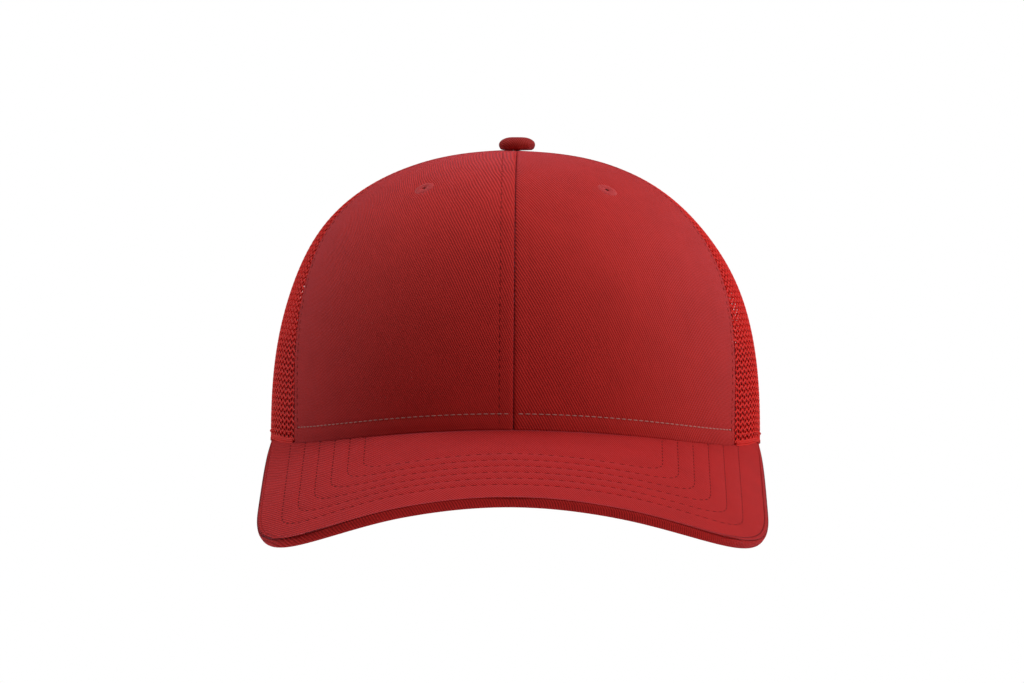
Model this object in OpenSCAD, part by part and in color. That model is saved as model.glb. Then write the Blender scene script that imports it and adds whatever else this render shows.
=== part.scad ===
// Six-panel trucker cap: two solid front panels, four net panels, a curved
// visor, a sweatband and a plastic snap strap across the rear opening.
// Millimetres, +Z up, front of the cap at -Y. The origin is the centre of the
// head opening, level with the lower edge of the crown at its sides and back.
// Left and right are the wearer's, so left is +X.

/* [Crown] */
// Half the width of the crown at its lower edge
crown_half_width = 84.5; // [80:0.5:90]
// Half the length of the crown, front to back
crown_half_length = 98; // [94:0.5:104]
// Height of the crown's apex above the side hem
crown_height = 101; // [94:0.5:108]
// How far the apex sits behind the middle
apex_y = 3; // [0:0.5:6]
// Fullness of the front profile, where 2 is an ellipse
front_fullness = 2.9; // [2.6:0.05:3.1]
// Fullness of the side profile
side_fullness = 2.56; // [2.3:0.02:2.6]
// Fullness of the rear profile
rear_fullness = 2.2; // [2.1:0.05:2.4]
// Share of the height that falls away like a cone
crown_taper = 0.03; // [0:0.01:0.06]
// Angle from the front to the front/side seam at the hem
side_seam_foot = 62; // [60:0.5:64]
// Angle from the front to the front/side seam at the apex
side_seam_top = 80; // [78:0.5:82]
// Angle from the front to the side/back seam
back_seam_angle = 120; // [118:0.5:122]

/* [Cloth] */
// Thickness of the twill front panels
twill_thick = 0.8; // [0.6:0.1:1]
// Thickness of the stiff buckram behind the front panels
buckram_thick = 0.9; // [0.6:0.1:1]
// Thickness of the nylon net
net_thick = 1; // [0.8:0.1:1.1]
// Width of the seam tapes
tape_width = 14; // [10:1:16]
// Thickness of the seam tapes, hem and binding
tape_thick = 0.8; // [0.5:0.1:0.8]
// Height of the turned hem of the net
hem_width = 8; // [6:0.5:8]

/* [Sweatband] */
// Height of the sweatband
band_height = 32; // [28:1:34]
// Thickness of the sweatband's cloth
band_thick = 0.9; // [0.6:0.1:1]
// Thickness of the foam inside the front of the sweatband
foam_thick = 1.4; // [1:0.1:1.4]
// Height of the piping along the sweatband's upper edge
piping_height = 2.2; // [1.5:0.1:3]

/* [Visor] */
// Length of the visor along its slope, at the middle
visor_length = 69; // [62:0.5:74]
// Half the width of the visor at its widest
visor_half_width = 85; // [82:0.2:88]
// Fall of the visor from the crown to its front edge, in degrees
visor_slope = 15.5; // [13:0.5:17]
// Radius of the visor's bend where it meets the crown's front
visor_radius = 147; // [140:1:160]
// How much the bend opens for each millimetre forward
visor_flare = 0.19; // [0.1:0.01:0.22]
// Height of the visor's upper face at the crown's front
visor_root_height = 9.7; // [8:0.1:11]
// Squareness of the visor's front corners
visor_squareness = 3.3; // [2.6:0.1:3.6]
// Thickness of the finished visor
visor_thick = 3.5; // [3.3:0.1:3.8]
// Angle from the front to the visor's rear corners
horn_angle = 74; // [72:0.5:76]

/* [Button and eyelets] */
// Radius of the button on the crown's apex
button_radius = 6.2; // [5.5:0.1:7]
// Height of the button
button_height = 4.6; // [4:0.1:5.2]
// Radius of the rivet that holds the button
rivet_radius = 1.2; // [1:0.1:1.2]
// Outer radius of the embroidered eyelets
eyelet_radius = 3.6; // [3:0.1:4]
// Radius of the eyelets' holes
eyelet_hole = 1.1; // [0.8:0.1:1.4]
// Angle from the front to each eyelet
eyelet_angle = 35; // [30:1:40]
// Share of the way up the crown at which the eyelets sit
eyelet_rise = 0.64; // [0.55:0.01:0.66]

/* [Rear opening] */
// Half the width of the opening at the hem
arch_half_width = 48; // [46:0.5:50]
// Height of the opening
arch_height = 56; // [52:1:60]
// Width of the binding on each face of the net
binding_width = 9; // [7:0.5:9]

/* [Snap strap] */
// Width of the straps, up the cap
strap_width = 18; // [16:0.5:19]
// Thickness of the straps
strap_thick = 1.2; // [1:0.1:1.3]
// Distance between neighbouring pegs, and between neighbouring holes
snap_pitch = 9.5; // [9:0.5:10]
// Radius of the strap holes
snap_hole_radius = 2.45; // [2.4:0.05:2.6]
// Radius of the pegs
peg_radius = 2; // [1.8:0.05:2]
// Distance from the middle to each strap's bend line
bend_x = 30; // [30:0.5:32]

/* [Hidden] */

// Space left between neighbouring layers and panels
gap = 0.3;
// Space left around the net, whose layers bend most
net_gap = 0.5;
// Space between the crown's lower edge and the visor
hem_clearance = 0.7;
// Angle over which the hem eases down behind the visor's corners
hem_ease = 22;
// Row nearest the apex, as a share of the quarter turn from hem to apex
top_row = 0.992;
// Rows and columns of the panels' surfaces
panel_rows = 15;
panel_columns = 11;
net_columns = 10;
arch_rows = 10;
upper_rows = 12;
binding_steps = 24;
band_columns = 48;
visor_rows = 6;
visor_columns = 32;

// Depths of the inner layers below the crown's outer surface
buckram_depth = twill_thick + gap;
front_tape_depth = buckram_depth + buckram_thick + gap;
rear_tape_depth = net_thick + net_gap;
foam_depth = front_tape_depth + tape_thick + 0.5;
band_depth = foam_depth + foam_thick + gap;
piping_depth = foam_depth;
// The wall leans in over the straps' width, so they lie deeper by that much
wall_lean = 1.3;
strap_depth = rear_tape_depth + tape_thick + wall_lean + strap_thick / 2;

// Widest half angle of a tape where the tapes crowd together at the apex
narrow_wedge = 19;
wide_wedge = 28;

// Plan of the visor
visor_wide_y = -95;
visor_front_y = -crown_half_length - visor_length * cos(visor_slope);
visor_side_share = 0.72;
visor_rear_inset = 0.8;
visor_horn_overhang = 1;
cover_thick = 0.8;
cover_gap = 0.2;

// Snap strap
strap_foot = 2.5;
strap_flat_x = 26;
strap_flat_y = crown_half_length - 8;
strap_blend = 16;
strap_reach = 20;
strap_sewn_x = 58;
tip_corner = 5;
strap_layer = (strap_thick + gap) / 2;
peg_height = 2.1;
snap_count = 4;
bend_gap = strap_thick / 2 + gap;

red_twill = [0.62, 0.12, 0.14];
red_net = [0.78, 0.13, 0.13];
dark_red = [0.45, 0.08, 0.09];
pale_cloth = [0.85, 0.83, 0.8];
grey_metal = [0.7, 0.7, 0.72];
board_white = [0.88, 0.88, 0.86];

// ---- Surfaces ----

// Eases from 0 to 1 as s goes from 0 to 1
function smooth(s) = let (k = max(0, min(1, s))) k * k * (3 - 2 * k);

// Height of the visor's upper face over the plan point (x, y)
function visor_height(x, y) =
    let (forward = y + crown_half_length, r = visor_radius - visor_flare * forward)
    visor_root_height + tan(visor_slope) * forward - (r - sqrt(r * r - x * x));

// Height of the crown's lower edge at the angle phi from the front
function hem_height(phi) =
    let (
        held = min(abs(phi), horn_angle),
        x = crown_half_width * sin(held),
        y = -crown_half_length * cos(held)
    )
    (visor_height(x, y) + hem_clearance) * (1 - smooth((abs(phi) - horn_angle) / hem_ease));

// Fullness of the crown's profile at the angle phi from the front
function fullness(phi) =
    let (c = cos(phi))
    side_fullness + ((c > 0 ? front_fullness : rear_fullness) - side_fullness) * c * c;

// Share of the hem's radius that is left at the share t of the way up
function shrink(phi, t) = pow(cos(90 * t), 2 / fullness(phi));

// Point on the crown's outer surface
function crown_point(phi, t) =
    let (
        rho = shrink(phi, t),
        rise = (1 - crown_taper) * pow(sin(90 * t), 2 / fullness(phi)) + crown_taper * (1 - rho),
        foot = hem_height(phi)
    )
    [
        crown_half_width * sin(phi) * rho,
        apex_y - (crown_half_length * cos(phi) + apex_y) * rho,
        foot + (crown_height - foot) * rise
    ];

// Outward normal of the crown
function crown_normal(phi, t) =
    let (
        along = crown_point(phi + 0.5, t) - crown_point(phi - 0.5, t),
        up = crown_point(phi, min(1, t + 0.004)) - crown_point(phi, max(0, t - 0.004)),
        n = cross(along, up)
    )
    n / norm(n);

// Point at a depth below the crown's outer surface
function crown_at(phi, t, depth) = crown_point(phi, t) - depth * crown_normal(phi, t);

// Share of the way up at which the rear of the crown reaches the height z
function share_at(z) = asin(pow(z / crown_height, rear_fullness / 2)) / 90;

// Angle that spans a distance across the crown at the share t of the way up
function span_angle(distance, phi, t) =
    let (radius = crown_half_width * shrink(phi, t))
    asin(min(1, distance / radius));

// Shares of the way up for evenly spaced rows from one share to another
function even_share(s) = pow(s, 1.22) / (pow(s, 1.22) + pow(1 - s, 1.22));
function panel_shares() =
    concat([for (i = [0 : panel_rows - 1]) even_share(i / panel_rows)], [top_row]);

// Angle of the front/side seam at the share t of the way up
function side_seam(t) = side_seam_foot + (side_seam_top - side_seam_foot) * pow(sin(90 * t), 1.35);

// Rows of points at a depth, between two lists of angles
function sheet_grid(shares, from, to, depth, columns) = [
    for (i = [0 : len(shares) - 1]) [
        for (j = [0 : columns])
            crown_at(from[i] + (to[i] - from[i]) * j / columns, shares[i], depth)
    ]
];

// Angle on the crown's rear that lies x to the side of the middle
function rear_angle(x, t, guess = 150, steps = 4) =
    steps == 0 ? guess : rear_angle(x, t, 180 - span_angle(x, guess, t), steps - 1);

// Point near the edge of the rear opening, out of it by a distance
function arch_at(alpha, out, depth) =
    let (
        x = (arch_half_width + out) * cos(alpha),
        t = share_at((arch_height + out) * sin(alpha)),
        phi = rear_angle(abs(x), t)
    )
    crown_at(x < 0 ? -phi : phi, t, depth);

// Closed solid between two matching grids of points
module grid_solid(outer, inner) {
    rows = len(outer);
    columns = len(outer[0]);
    shift = rows * columns;
    function at(i, j) = i * columns + j;
    function quad(a, b, c, d) = [[a, b, c], [a, c, d]];
    faces = [
        for (i = [0 : rows - 2], j = [0 : columns - 2])
            each concat(
                quad(at(i, j), at(i + 1, j), at(i + 1, j + 1), at(i, j + 1)),
                quad(shift + at(i, j), shift + at(i, j + 1), shift + at(i + 1, j + 1), shift + at(i + 1, j))
            ),
        for (j = [0 : columns - 2])
            each concat(
                quad(at(0, j), at(0, j + 1), shift + at(0, j + 1), shift + at(0, j)),
                quad(
                    at(rows - 1, j + 1), at(rows - 1, j),
                    shift + at(rows - 1, j), shift + at(rows - 1, j + 1)
                )
            ),
        for (i = [0 : rows - 2])
            each concat(
                quad(at(i + 1, 0), at(i, 0), shift + at(i, 0), shift + at(i + 1, 0)),
                quad(
                    at(i, columns - 1), at(i + 1, columns - 1),
                    shift + at(i + 1, columns - 1), shift + at(i, columns - 1)
                )
            )
    ];
    polyhedron(points = concat([for (row = outer) each row], [for (row = inner) each row]), faces = faces);
}

// Layer of the crown between two lists of angles
module crown_sheet(shares, from, to, depth, thick, columns) {
    grid_solid(
        sheet_grid(shares, from, to, depth, columns),
        sheet_grid(shares, from, to, depth + thick, columns)
    );
}

// ---- Crown panels ----

module front_panel(depth, thick) {
    shares = panel_shares();
    from = [for (t = shares) span_angle(gap / 2, 0, t)];
    to = [for (t = shares) side_seam(t) - span_angle(gap / 2, side_seam(t), t)];
    difference() {
        crown_sheet(shares, from, to, depth, thick, panel_columns);
        eyelet_place() cylinder(r = eyelet_hole, h = 12, center = true, $fn = 24);
    }
}

module side_panel() {
    shares = panel_shares();
    from = [for (t = shares) side_seam(t) + span_angle(gap / 2, side_seam(t), t)];
    to = [for (t = shares) back_seam_angle - span_angle(gap / 2, back_seam_angle, t)];
    crown_sheet(shares, from, to, 0, net_thick, net_columns);
}

module back_panel() {
    lower = [for (i = [0 : arch_rows]) share_at(arch_height * sin(90 * i / arch_rows))];
    edge = [
        for (i = [0 : arch_rows])
            rear_angle(max(gap / 2, arch_half_width * cos(90 * i / arch_rows)), lower[i])
    ];
    // Even rows from the top of the opening to the apex
    first = lower[arch_rows];
    upper = [for (i = [1 : upper_rows]) first + (top_row - first) * sin(90 * i / upper_rows)];
    shares = concat(lower, upper);
    from = [for (t = shares) back_seam_angle + span_angle(gap / 2, back_seam_angle, t)];
    to = concat(edge, [for (t = upper) 180 - span_angle(gap / 2, 180, t)]);
    crown_sheet(shares, from, to, 0, net_thick, net_columns);
}

module front_panel_left() {
    color(red_twill) front_panel(0, twill_thick);
}

module front_panel_right() {
    color(red_twill) mirror([1, 0, 0]) front_panel(0, twill_thick);
}

module buckram_left() {
    color(pale_cloth) front_panel(buckram_depth, buckram_thick);
}

module buckram_right() {
    color(pale_cloth) mirror([1, 0, 0]) front_panel(buckram_depth, buckram_thick);
}

module side_mesh_left() {
    color(red_net) side_panel();
}

module side_mesh_right() {
    color(red_net) mirror([1, 0, 0]) side_panel();
}

module back_mesh_left() {
    color(red_net) back_panel();
}

module back_mesh_right() {
    color(red_net) mirror([1, 0, 0]) back_panel();
}

// ---- Seam tapes, hem and binding ----

// Tape under a seam, from one share of the way up to the apex
module seam_tape(middle, first, depth, wedge) {
    shares = [for (t = panel_shares()) if (t > first + 0.02) t];
    rows = concat([first], shares);
    half = [for (i = [0 : len(rows) - 1]) min(wedge, span_angle(tape_width / 2, middle(rows[i]), rows[i]))];
    from = [for (i = [0 : len(rows) - 1]) middle(rows[i]) - half[i]];
    to = [for (i = [0 : len(rows) - 1]) middle(rows[i]) + half[i]];
    crown_sheet(rows, from, to, depth, tape_thick, 2);
}

module front_seam_tape() {
    color(dark_red) seam_tape(function (t) 0, 0, front_tape_depth, wide_wedge);
}

module front_side_tape_left() {
    color(dark_red) seam_tape(function (t) side_seam(t), 0, front_tape_depth, narrow_wedge);
}

module front_side_tape_right() {
    color(dark_red) mirror([1, 0, 0]) seam_tape(function (t) side_seam(t), 0, front_tape_depth, narrow_wedge);
}

module side_back_tape_left() {
    first = share_at(hem_width + 1.5);
    color(dark_red) seam_tape(function (t) back_seam_angle, first, rear_tape_depth, narrow_wedge);
}

module side_back_tape_right() {
    mirror([1, 0, 0]) side_back_tape_left();
}

module back_seam_tape() {
    first = share_at(arch_height + binding_width + 1.5);
    color(dark_red) seam_tape(function (t) 180, first, rear_tape_depth, wide_wedge);
}

module mesh_hem() {
    shares = [0, share_at(hem_width / 2), share_at(hem_width)];
    first = horn_angle + 2;
    last = rear_angle(arch_half_width + binding_width + 1, 0);
    crown_sheet(shares, [first, first, first], [last, last, last], rear_tape_depth, tape_thick, 10);
}

module mesh_hem_left() {
    color(red_net) mesh_hem();
}

module mesh_hem_right() {
    color(red_net) mirror([1, 0, 0]) mesh_hem();
}

// Binding folded over the edge of the rear opening
module arch_binding() {
    web = net_gap + tape_thick;
    face = net_gap + tape_thick;
    back = rear_tape_depth + tape_thick;
    // Each pair is a distance out of the opening and a depth below the surface
    skin = [[binding_width, back], [-web, back], [-web, -face], [binding_width, -face]];
    lining = [
        [binding_width, rear_tape_depth], [-net_gap, rear_tape_depth],
        [-net_gap, -net_gap], [binding_width, -net_gap]
    ];
    color(red_twill)
        grid_solid(
            [for (p = skin) [for (k = [0 : binding_steps]) arch_at(180 * k / binding_steps, p[0], p[1])]],
            [for (p = lining) [for (k = [0 : binding_steps]) arch_at(180 * k / binding_steps, p[0], p[1])]]
        );
}

// ---- Sweatband ----

module band_layer(low, high, end, depth, thick, rows) {
    shares = [for (i = [0 : rows]) share_at(low + (high - low) * i / rows)];
    crown_sheet(shares, [for (t = shares) -end], [for (t = shares) end], depth, thick, band_columns);
}

module sweatband() {
    end = rear_angle(arch_half_width + 1, 0);
    color(dark_red) band_layer(1, band_height, end, band_depth, band_thick, 3);
}

module sweatband_foam() {
    color(pale_cloth) band_layer(3, band_height - 2, side_seam_foot, foam_depth, foam_thick, 3);
}

module sweatband_piping() {
    end = rear_angle(arch_half_width + 1, 0);
    low = band_height + gap;
    thick = band_depth + band_thick - piping_depth;
    color(dark_red) band_layer(low, low + piping_height, end, piping_depth, thick, 1);
}

// ---- Eyelets ----

// Puts its children on the left front panel, with +Z along the panel's normal
module eyelet_place() {
    n = crown_normal(eyelet_angle, eyelet_rise);
    translate(crown_point(eyelet_angle, eyelet_rise))
        rotate([0, acos(n[2]), atan2(n[1], n[0])])
            children();
}

// Ring of thread, round on top, that stands a little proud of the panel
module eyelet_ring() {
    ring_middle = (eyelet_radius + eyelet_hole) / 2;
    ring_half = (eyelet_radius - eyelet_hole) / 2;
    eyelet_place()
        translate([0, 0, 0.15])
            rotate_extrude($fn = 32)
                intersection() {
                    translate([ring_middle, 0]) scale([1, 0.55]) circle(r = ring_half, $fn = 24);
                    square([eyelet_radius, ring_half]);
                }
}

module eyelet_left() {
    color(dark_red) eyelet_ring();
}

module eyelet_right() {
    color(dark_red) mirror([1, 0, 0]) eyelet_ring();
}

// ---- Button ----

// Solid of revolution about the apex, from pairs of radius and height
module turned(profile) {
    translate([0, apex_y, crown_height]) rotate_extrude($fn = 48) polygon(profile);
}

// Outline of the button's dome, drawn in by an inset
function dome(inset) = [
    for (a = [0 : 15 : 90])
        [(button_radius - inset) * pow(cos(a), 0.7), 1.9 + (button_height - 1.9 - inset) * sin(a)]
];

module button_cover() {
    lining = dome(0.7);
    color(red_twill)
        turned(concat(
            [[button_radius - 1.6, gap], [button_radius - 0.5, 0.9]],
            dome(0),
            [for (k = [6 : -1 : 0]) lining[k]],
            [[button_radius - 1.3, 1.2], [button_radius - 2, gap + 0.4]]
        ));
}

module button_shell() {
    color(grey_metal)
        turned(concat(
            [[button_radius - 1.7, 1.4], [button_radius - 0.9, 1.9]],
            [for (k = [1 : 6]) dome(0.9)[k]],
            [for (k = [6 : -1 : 1]) dome(1.5)[k]],
            [[button_radius - 1.7, 2.1]]
        ));
}

module button_rivet() {
    flange = 2.6;
    color(grey_metal)
        turned([
            [0, -6], [flange + 0.6, -6], [flange + 0.6, -5.3], [rivet_radius, -5.3],
            [rivet_radius, 0.8], [flange, 0.8], [flange, 1.5], [0, 1.5]
        ]);
}

module button_washer() {
    color(grey_metal)
        translate([0, apex_y, crown_height - 4.9])
            difference() {
                cylinder(r = button_radius, h = 0.9, $fn = 48);
                translate([0, 0, -1]) cylinder(r = rivet_radius + 0.2, h = 3, $fn = 32);
            }
}

// ---- Visor ----

// Point of the visor's outer outline; s runs from 0 at the front to 1 at the corner
function visor_rim(s, inset) =
    let (
        a = min(1, s / visor_side_share) * 90,
        side = max(0, (s - visor_side_share) / (1 - visor_side_share)),
        horn = crown_at(horn_angle, 0, min(inset, 0.7) - visor_horn_overhang),
        k = 2 / visor_squareness,
        wide = visor_half_width - inset,
        reach = visor_wide_y - visor_front_y - inset
    )
    side == 0
        ? [wide * pow(sin(a), k), visor_wide_y - reach * pow(cos(a), k)]
        : [wide + (horn[0] - wide) * side * side, visor_wide_y + (horn[1] - visor_wide_y) * side];

// Point of the visor's rear edge, just under the crown's wall
function visor_root(s) =
    let (p = crown_at(horn_angle * s, 0, visor_rear_inset)) [p[0], p[1]];

// Point of the visor at a depth below its upper face
function visor_at(v, s, inset, depth) =
    let (
        q = visor_root(abs(s)) * (1 - v) + visor_rim(abs(s), inset) * v,
        x = s < 0 ? -q[0] : q[0],
        h = 0.5,
        slope_x = (visor_height(x + h, q[1]) - visor_height(x - h, q[1])) / (2 * h),
        slope_y = (visor_height(x, q[1] + h) - visor_height(x, q[1] - h)) / (2 * h),
        n = [-slope_x, -slope_y, 1] / norm([slope_x, slope_y, 1])
    )
    [x, q[1], visor_height(x, q[1])] - depth * n;

// One row of the visor, from side to side
function visor_row(v, inset, depth) = [
    for (j = [0 : visor_columns]) visor_at(v, 2 * j / visor_columns - 1, inset, depth)
];

// Rows of the visor from front to rear
function visor_face(inset, depth) =
    [for (i = [visor_rows : -1 : 0]) visor_row(i / visor_rows, inset, depth)];

// The cover turns down over the board's edge in a lip
module visor_top_cover() {
    lip = [visor_thick, visor_thick / 2];
    color(red_twill)
        grid_solid(
            concat([for (d = lip) visor_row(1, 0, d)], visor_face(0, 0)),
            concat([for (d = lip) visor_row(1, cover_thick, d)], visor_face(cover_thick, cover_thick))
        );
}

module visor_board() {
    inset = cover_thick + gap;
    top = cover_thick + cover_gap;
    bottom = visor_thick - cover_thick - cover_gap;
    color(board_white) grid_solid(visor_face(inset, top), visor_face(inset, bottom));
}

module visor_under_cover() {
    inset = cover_thick + gap;
    color(red_twill)
        grid_solid(visor_face(inset, visor_thick - cover_thick), visor_face(inset, visor_thick));
}

// ---- Snap strap ----

// Distance of a strap's middle behind the origin, at x to the side; layer is
// +1 for the outer strap and -1 for the inner one where they overlap
function strap_y(x, layer) =
    let (
        a = crown_half_width - strap_depth,
        b = crown_half_length - strap_depth,
        round_y = b * sqrt(1 - x * x / (a * a)),
        k = smooth((abs(x) - strap_flat_x) / strap_blend)
    )
    strap_flat_y * (1 - k) + round_y * k + layer * strap_layer * (1 - k);

function strap_normal(x, layer) =
    let (h = 0.2, rise = (strap_y(x + h, layer) - strap_y(x - h, layer)) / (2 * h))
    [-rise, 1] / norm([rise, 1]);

// Point of a strap's inner face (side -1) or outer face (side +1), seen from above
function strap_face(x, layer, side) =
    [x, strap_y(x, layer)] + side * strap_thick / 2 * strap_normal(x, layer);

// Outline of a bent strip of strap, seen from above
function strip_outline(xs, layer) = concat(
    [for (x = xs) strap_face(x, layer, -1)],
    [for (i = [len(xs) - 1 : -1 : 0]) strap_face(xs[i], layer, 1)]
);

module strip(xs, layer) {
    translate([0, 0, strap_foot]) linear_extrude(strap_width) polygon(strip_outline(xs, layer));
}

// Puts its children on the strap's middle height, with +Z along its normal
module on_strap(x, layer) {
    n = strap_normal(x, layer);
    translate([x, strap_y(x, layer), strap_foot + strap_width / 2])
        rotate([-90, 0, -atan2(n[0], n[1])])
            children();
}

// Strap with a rounded bend line at -bend_x and a free end with round corners
module free_strap(layer) {
    xs = concat([for (x = [-bend_x : 1 : -strap_flat_x]) x], [strap_reach]);
    intersection() {
        union() {
            strip(xs, layer);
            translate([-bend_x, strap_y(-bend_x, layer), strap_foot])
                cylinder(r = strap_thick / 2, h = strap_width, $fn = 32);
        }
        translate([0, crown_half_length + 20, strap_foot])
            rotate([90, 0, 0])
                linear_extrude(60)
                    tip_outline();
    }
}

// Front view of a free strap: square at the bend, round corners at the tip
module tip_outline() {
    left = -bend_x - 2;
    translate([left, 0]) square([strap_reach - tip_corner - left, strap_width]);
    translate([strap_reach - tip_corner - 1, tip_corner])
        square([tip_corner + 1, strap_width - 2 * tip_corner]);
    for (y = [tip_corner, strap_width - tip_corner])
        translate([strap_reach - tip_corner, y]) circle(r = tip_corner, $fn = 48);
}

module strap_hole(x, layer) {
    on_strap(x, layer) cylinder(r = snap_hole_radius, h = 10, center = true, $fn = 48);
}

// Peg with a rounded crown, standing on the strap's outer face
module peg(x, layer) {
    on_strap(x, layer)
        rotate_extrude($fn = 32)
            polygon([
                [0, 0], [peg_radius, 0], [peg_radius, strap_thick / 2 + peg_height - 0.7],
                [peg_radius - 0.25, strap_thick / 2 + peg_height - 0.25],
                [peg_radius - 0.8, strap_thick / 2 + peg_height], [0, strap_thick / 2 + peg_height]
            ]);
}

// Places along a strap, counted from the outermost snap towards the bend
function snap_x(k) = (snap_count - 1) * snap_pitch / 2 - k * snap_pitch;

// Sewn end of a strap, from the bend line to under the net
module sewn_end(layer) {
    strip([for (x = [-strap_sewn_x : 2 : -bend_x - bend_gap - 1]) x], layer);
    strip([-bend_x - bend_gap - 1.5, -bend_x - bend_gap], layer);
}

module hole_strap_end() {
    color(red_net)
        difference() {
            sewn_end(1);
            strap_hole(-38.5, 1);
        }
}

module peg_strap_end() {
    color(red_net)
        mirror([1, 0, 0]) {
            sewn_end(-1);
            peg(-38.5, -1);
        }
}

module hole_strap() {
    color(red_net)
        difference() {
            free_strap(1);
            for (k = [0 : snap_count]) strap_hole(snap_x(k), 1);
        }
}

module peg_strap() {
    color(red_net)
        mirror([1, 0, 0]) {
            free_strap(-1);
            for (k = [0 : snap_count]) peg(snap_x(k), -1);
        }
}

front_panel_left();
front_panel_right();
buckram_left();
buckram_right();
side_mesh_left();
side_mesh_right();
back_mesh_left();
back_mesh_right();
front_seam_tape();
front_side_tape_left();
front_side_tape_right();
side_back_tape_left();
side_back_tape_right();
back_seam_tape();
mesh_hem_left();
mesh_hem_right();
arch_binding();
sweatband();
sweatband_foam();
sweatband_piping();
eyelet_left();
eyelet_right();
button_cover();
button_shell();
button_rivet();
button_washer();
visor_top_cover();
visor_board();
visor_under_cover();
hole_strap_end();
peg_strap_end();
hole_strap();
peg_strap();
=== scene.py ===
import math

import bmesh
import bpy
import numpy as np
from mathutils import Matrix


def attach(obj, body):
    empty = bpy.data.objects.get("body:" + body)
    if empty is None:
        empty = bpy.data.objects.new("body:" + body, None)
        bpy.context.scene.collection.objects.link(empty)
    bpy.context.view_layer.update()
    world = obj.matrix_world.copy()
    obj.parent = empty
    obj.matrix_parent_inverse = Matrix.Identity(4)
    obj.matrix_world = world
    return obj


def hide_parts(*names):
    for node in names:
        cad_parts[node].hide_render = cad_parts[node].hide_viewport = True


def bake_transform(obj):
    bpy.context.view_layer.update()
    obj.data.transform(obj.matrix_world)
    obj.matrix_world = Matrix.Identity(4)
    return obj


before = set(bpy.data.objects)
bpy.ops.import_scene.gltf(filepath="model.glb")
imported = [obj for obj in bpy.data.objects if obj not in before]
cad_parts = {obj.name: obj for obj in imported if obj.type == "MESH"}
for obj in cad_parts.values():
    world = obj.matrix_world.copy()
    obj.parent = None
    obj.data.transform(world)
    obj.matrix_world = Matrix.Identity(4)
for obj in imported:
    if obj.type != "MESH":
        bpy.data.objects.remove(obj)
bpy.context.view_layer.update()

# A six-panel trucker cap. Lengths are in millimetres and angles in degrees, apart from the
# visor's slope, kept in radians, and the studio, set out in metres. The frame is the CAD
# model's: +Z up, front at -Y, origin at the centre of the head opening. phi is the angle round
# the crown from the front, positive towards +X, the wearer's left.
MM = 0.001

# ---- Sizes shared with the CAD model ----
HALF_WIDTH, HALF_LENGTH, CROWN_HEIGHT, APEX_Y = 84.5, 98.0, 101.0, 3.0
FRONT_FULLNESS, SIDE_FULLNESS, REAR_FULLNESS = 2.9, 2.56, 2.2
CROWN_TAPER = 0.03
HEM_CLEARANCE = 0.7
HEM_EASE = 22.0
TOP_SHARE = 0.992
SEAM_FOOT, SEAM_TOP, BACK_SEAM = 62.0, 80.0, 120.0
VISOR_LENGTH, VISOR_HALF_WIDTH, VISOR_SLOPE = 69.0, 85.0, math.radians(15.5)
VISOR_RADIUS, VISOR_FLARE, VISOR_ROOT = 147.0, 0.19, 9.7
VISOR_SQUARENESS, VISOR_THICK, VISOR_WIDE_Y = 3.3, 3.5, -95.0
HORN_ANGLE = 74.0
ARCH_HALF_WIDTH, ARCH_HEIGHT, BINDING_WIDTH = 48.0, 56.0, 9.0
BAND_HEIGHT, BAND_DEPTH = 32.0, 5.3
BUCKRAM_DEPTH, FRONT_TAPE_DEPTH, REAR_TAPE_DEPTH = 1.1, 2.3, 1.5
STRAP_FOOT, STRAP_WIDTH, STRAP_THICK, STRAP_LAYER = 2.5, 18.0, 1.2, 0.75
SNAP_PITCH, SNAP_COUNT, SNAP_HOLE_RADIUS = 9.5, 4, 2.45
STRAP_FLAT_X, STRAP_FLAT_Y, STRAP_BLEND, STRAP_DEPTH = 26.0, 90.0, 16.0, 4.2
STRAP_REACH, STRAP_SEWN_X, STRAP_BEND_X = 20.0, 58.0, 30.0
TAPE_WIDTH, HEM_WIDTH = 14.0, 8.0
NARROW_WEDGE, WIDE_WEDGE = 19.0, 28.0
EYELET_ANGLE, EYELET_RISE, EYELET_HOLE, EYELET_RADIUS = 35.0, 0.64, 1.1, 3.6
BUTTON_RADIUS, BUTTON_HEIGHT = 6.2, 4.6
STRAP_MIDDLE = STRAP_FOOT + STRAP_WIDTH / 2

# ---- Sizes of the finished pieces only ----
HORN_TIP = 79.0  # angle where the visor's corners end, under the net's hem
BUCKRAM_SEAM_GAP = 1.5  # degrees that the buckram stops short of the side seam, under its tape
CROWN_INSET = 0.9
BEVEL = 0.28
SEWN_SNAP_X = -38.5
EYELET_THREADS = 52
ROW_CORNER = 0.36
TAPE_SEWN, BAND_SEWN = 0.66, 28.0

# ---- Sizes of the stitching and the weave ----
SEAM_STITCH_INSET, SIDE_STITCH_INSET = 4.7, 3.0
NET_HEM_STITCH = 3.2
HEM_STITCH_HEIGHT, HEM_PITCH, SEAM_PITCH = 4.7, 2.25, 2.6
VISOR_ROWS, VISOR_COLUMNS = 6, 161
OUTER_ROW = (75.8, 55.0, 6.0)
INNER_ROW = (49.5, 24.0, 2.0)
NET_ROW, NET_PERIOD, NET_WAVE = 2.0, 4.8, 0.6
NET_HALF_YARN, NET_HALF_WALE = 0.4, 0.4


# ---- Surfaces ----

def smooth(s):
    """Eases from 0 to 1."""
    s = np.clip(s, 0.0, 1.0)
    return s * s * (3.0 - 2.0 * s)


def power(base, exponent):
    """A power that takes rounding errors below zero as zero."""
    return np.power(np.maximum(base, 0.0), exponent)


def visor_height(x, y):
    """Height of the CAD visor: a slope bent over a cone that narrows towards its front."""
    forward = y + HALF_LENGTH
    radius = VISOR_RADIUS - VISOR_FLARE * forward
    return VISOR_ROOT + math.tan(VISOR_SLOPE) * forward - (radius - np.sqrt(radius * radius - x * x))


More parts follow.
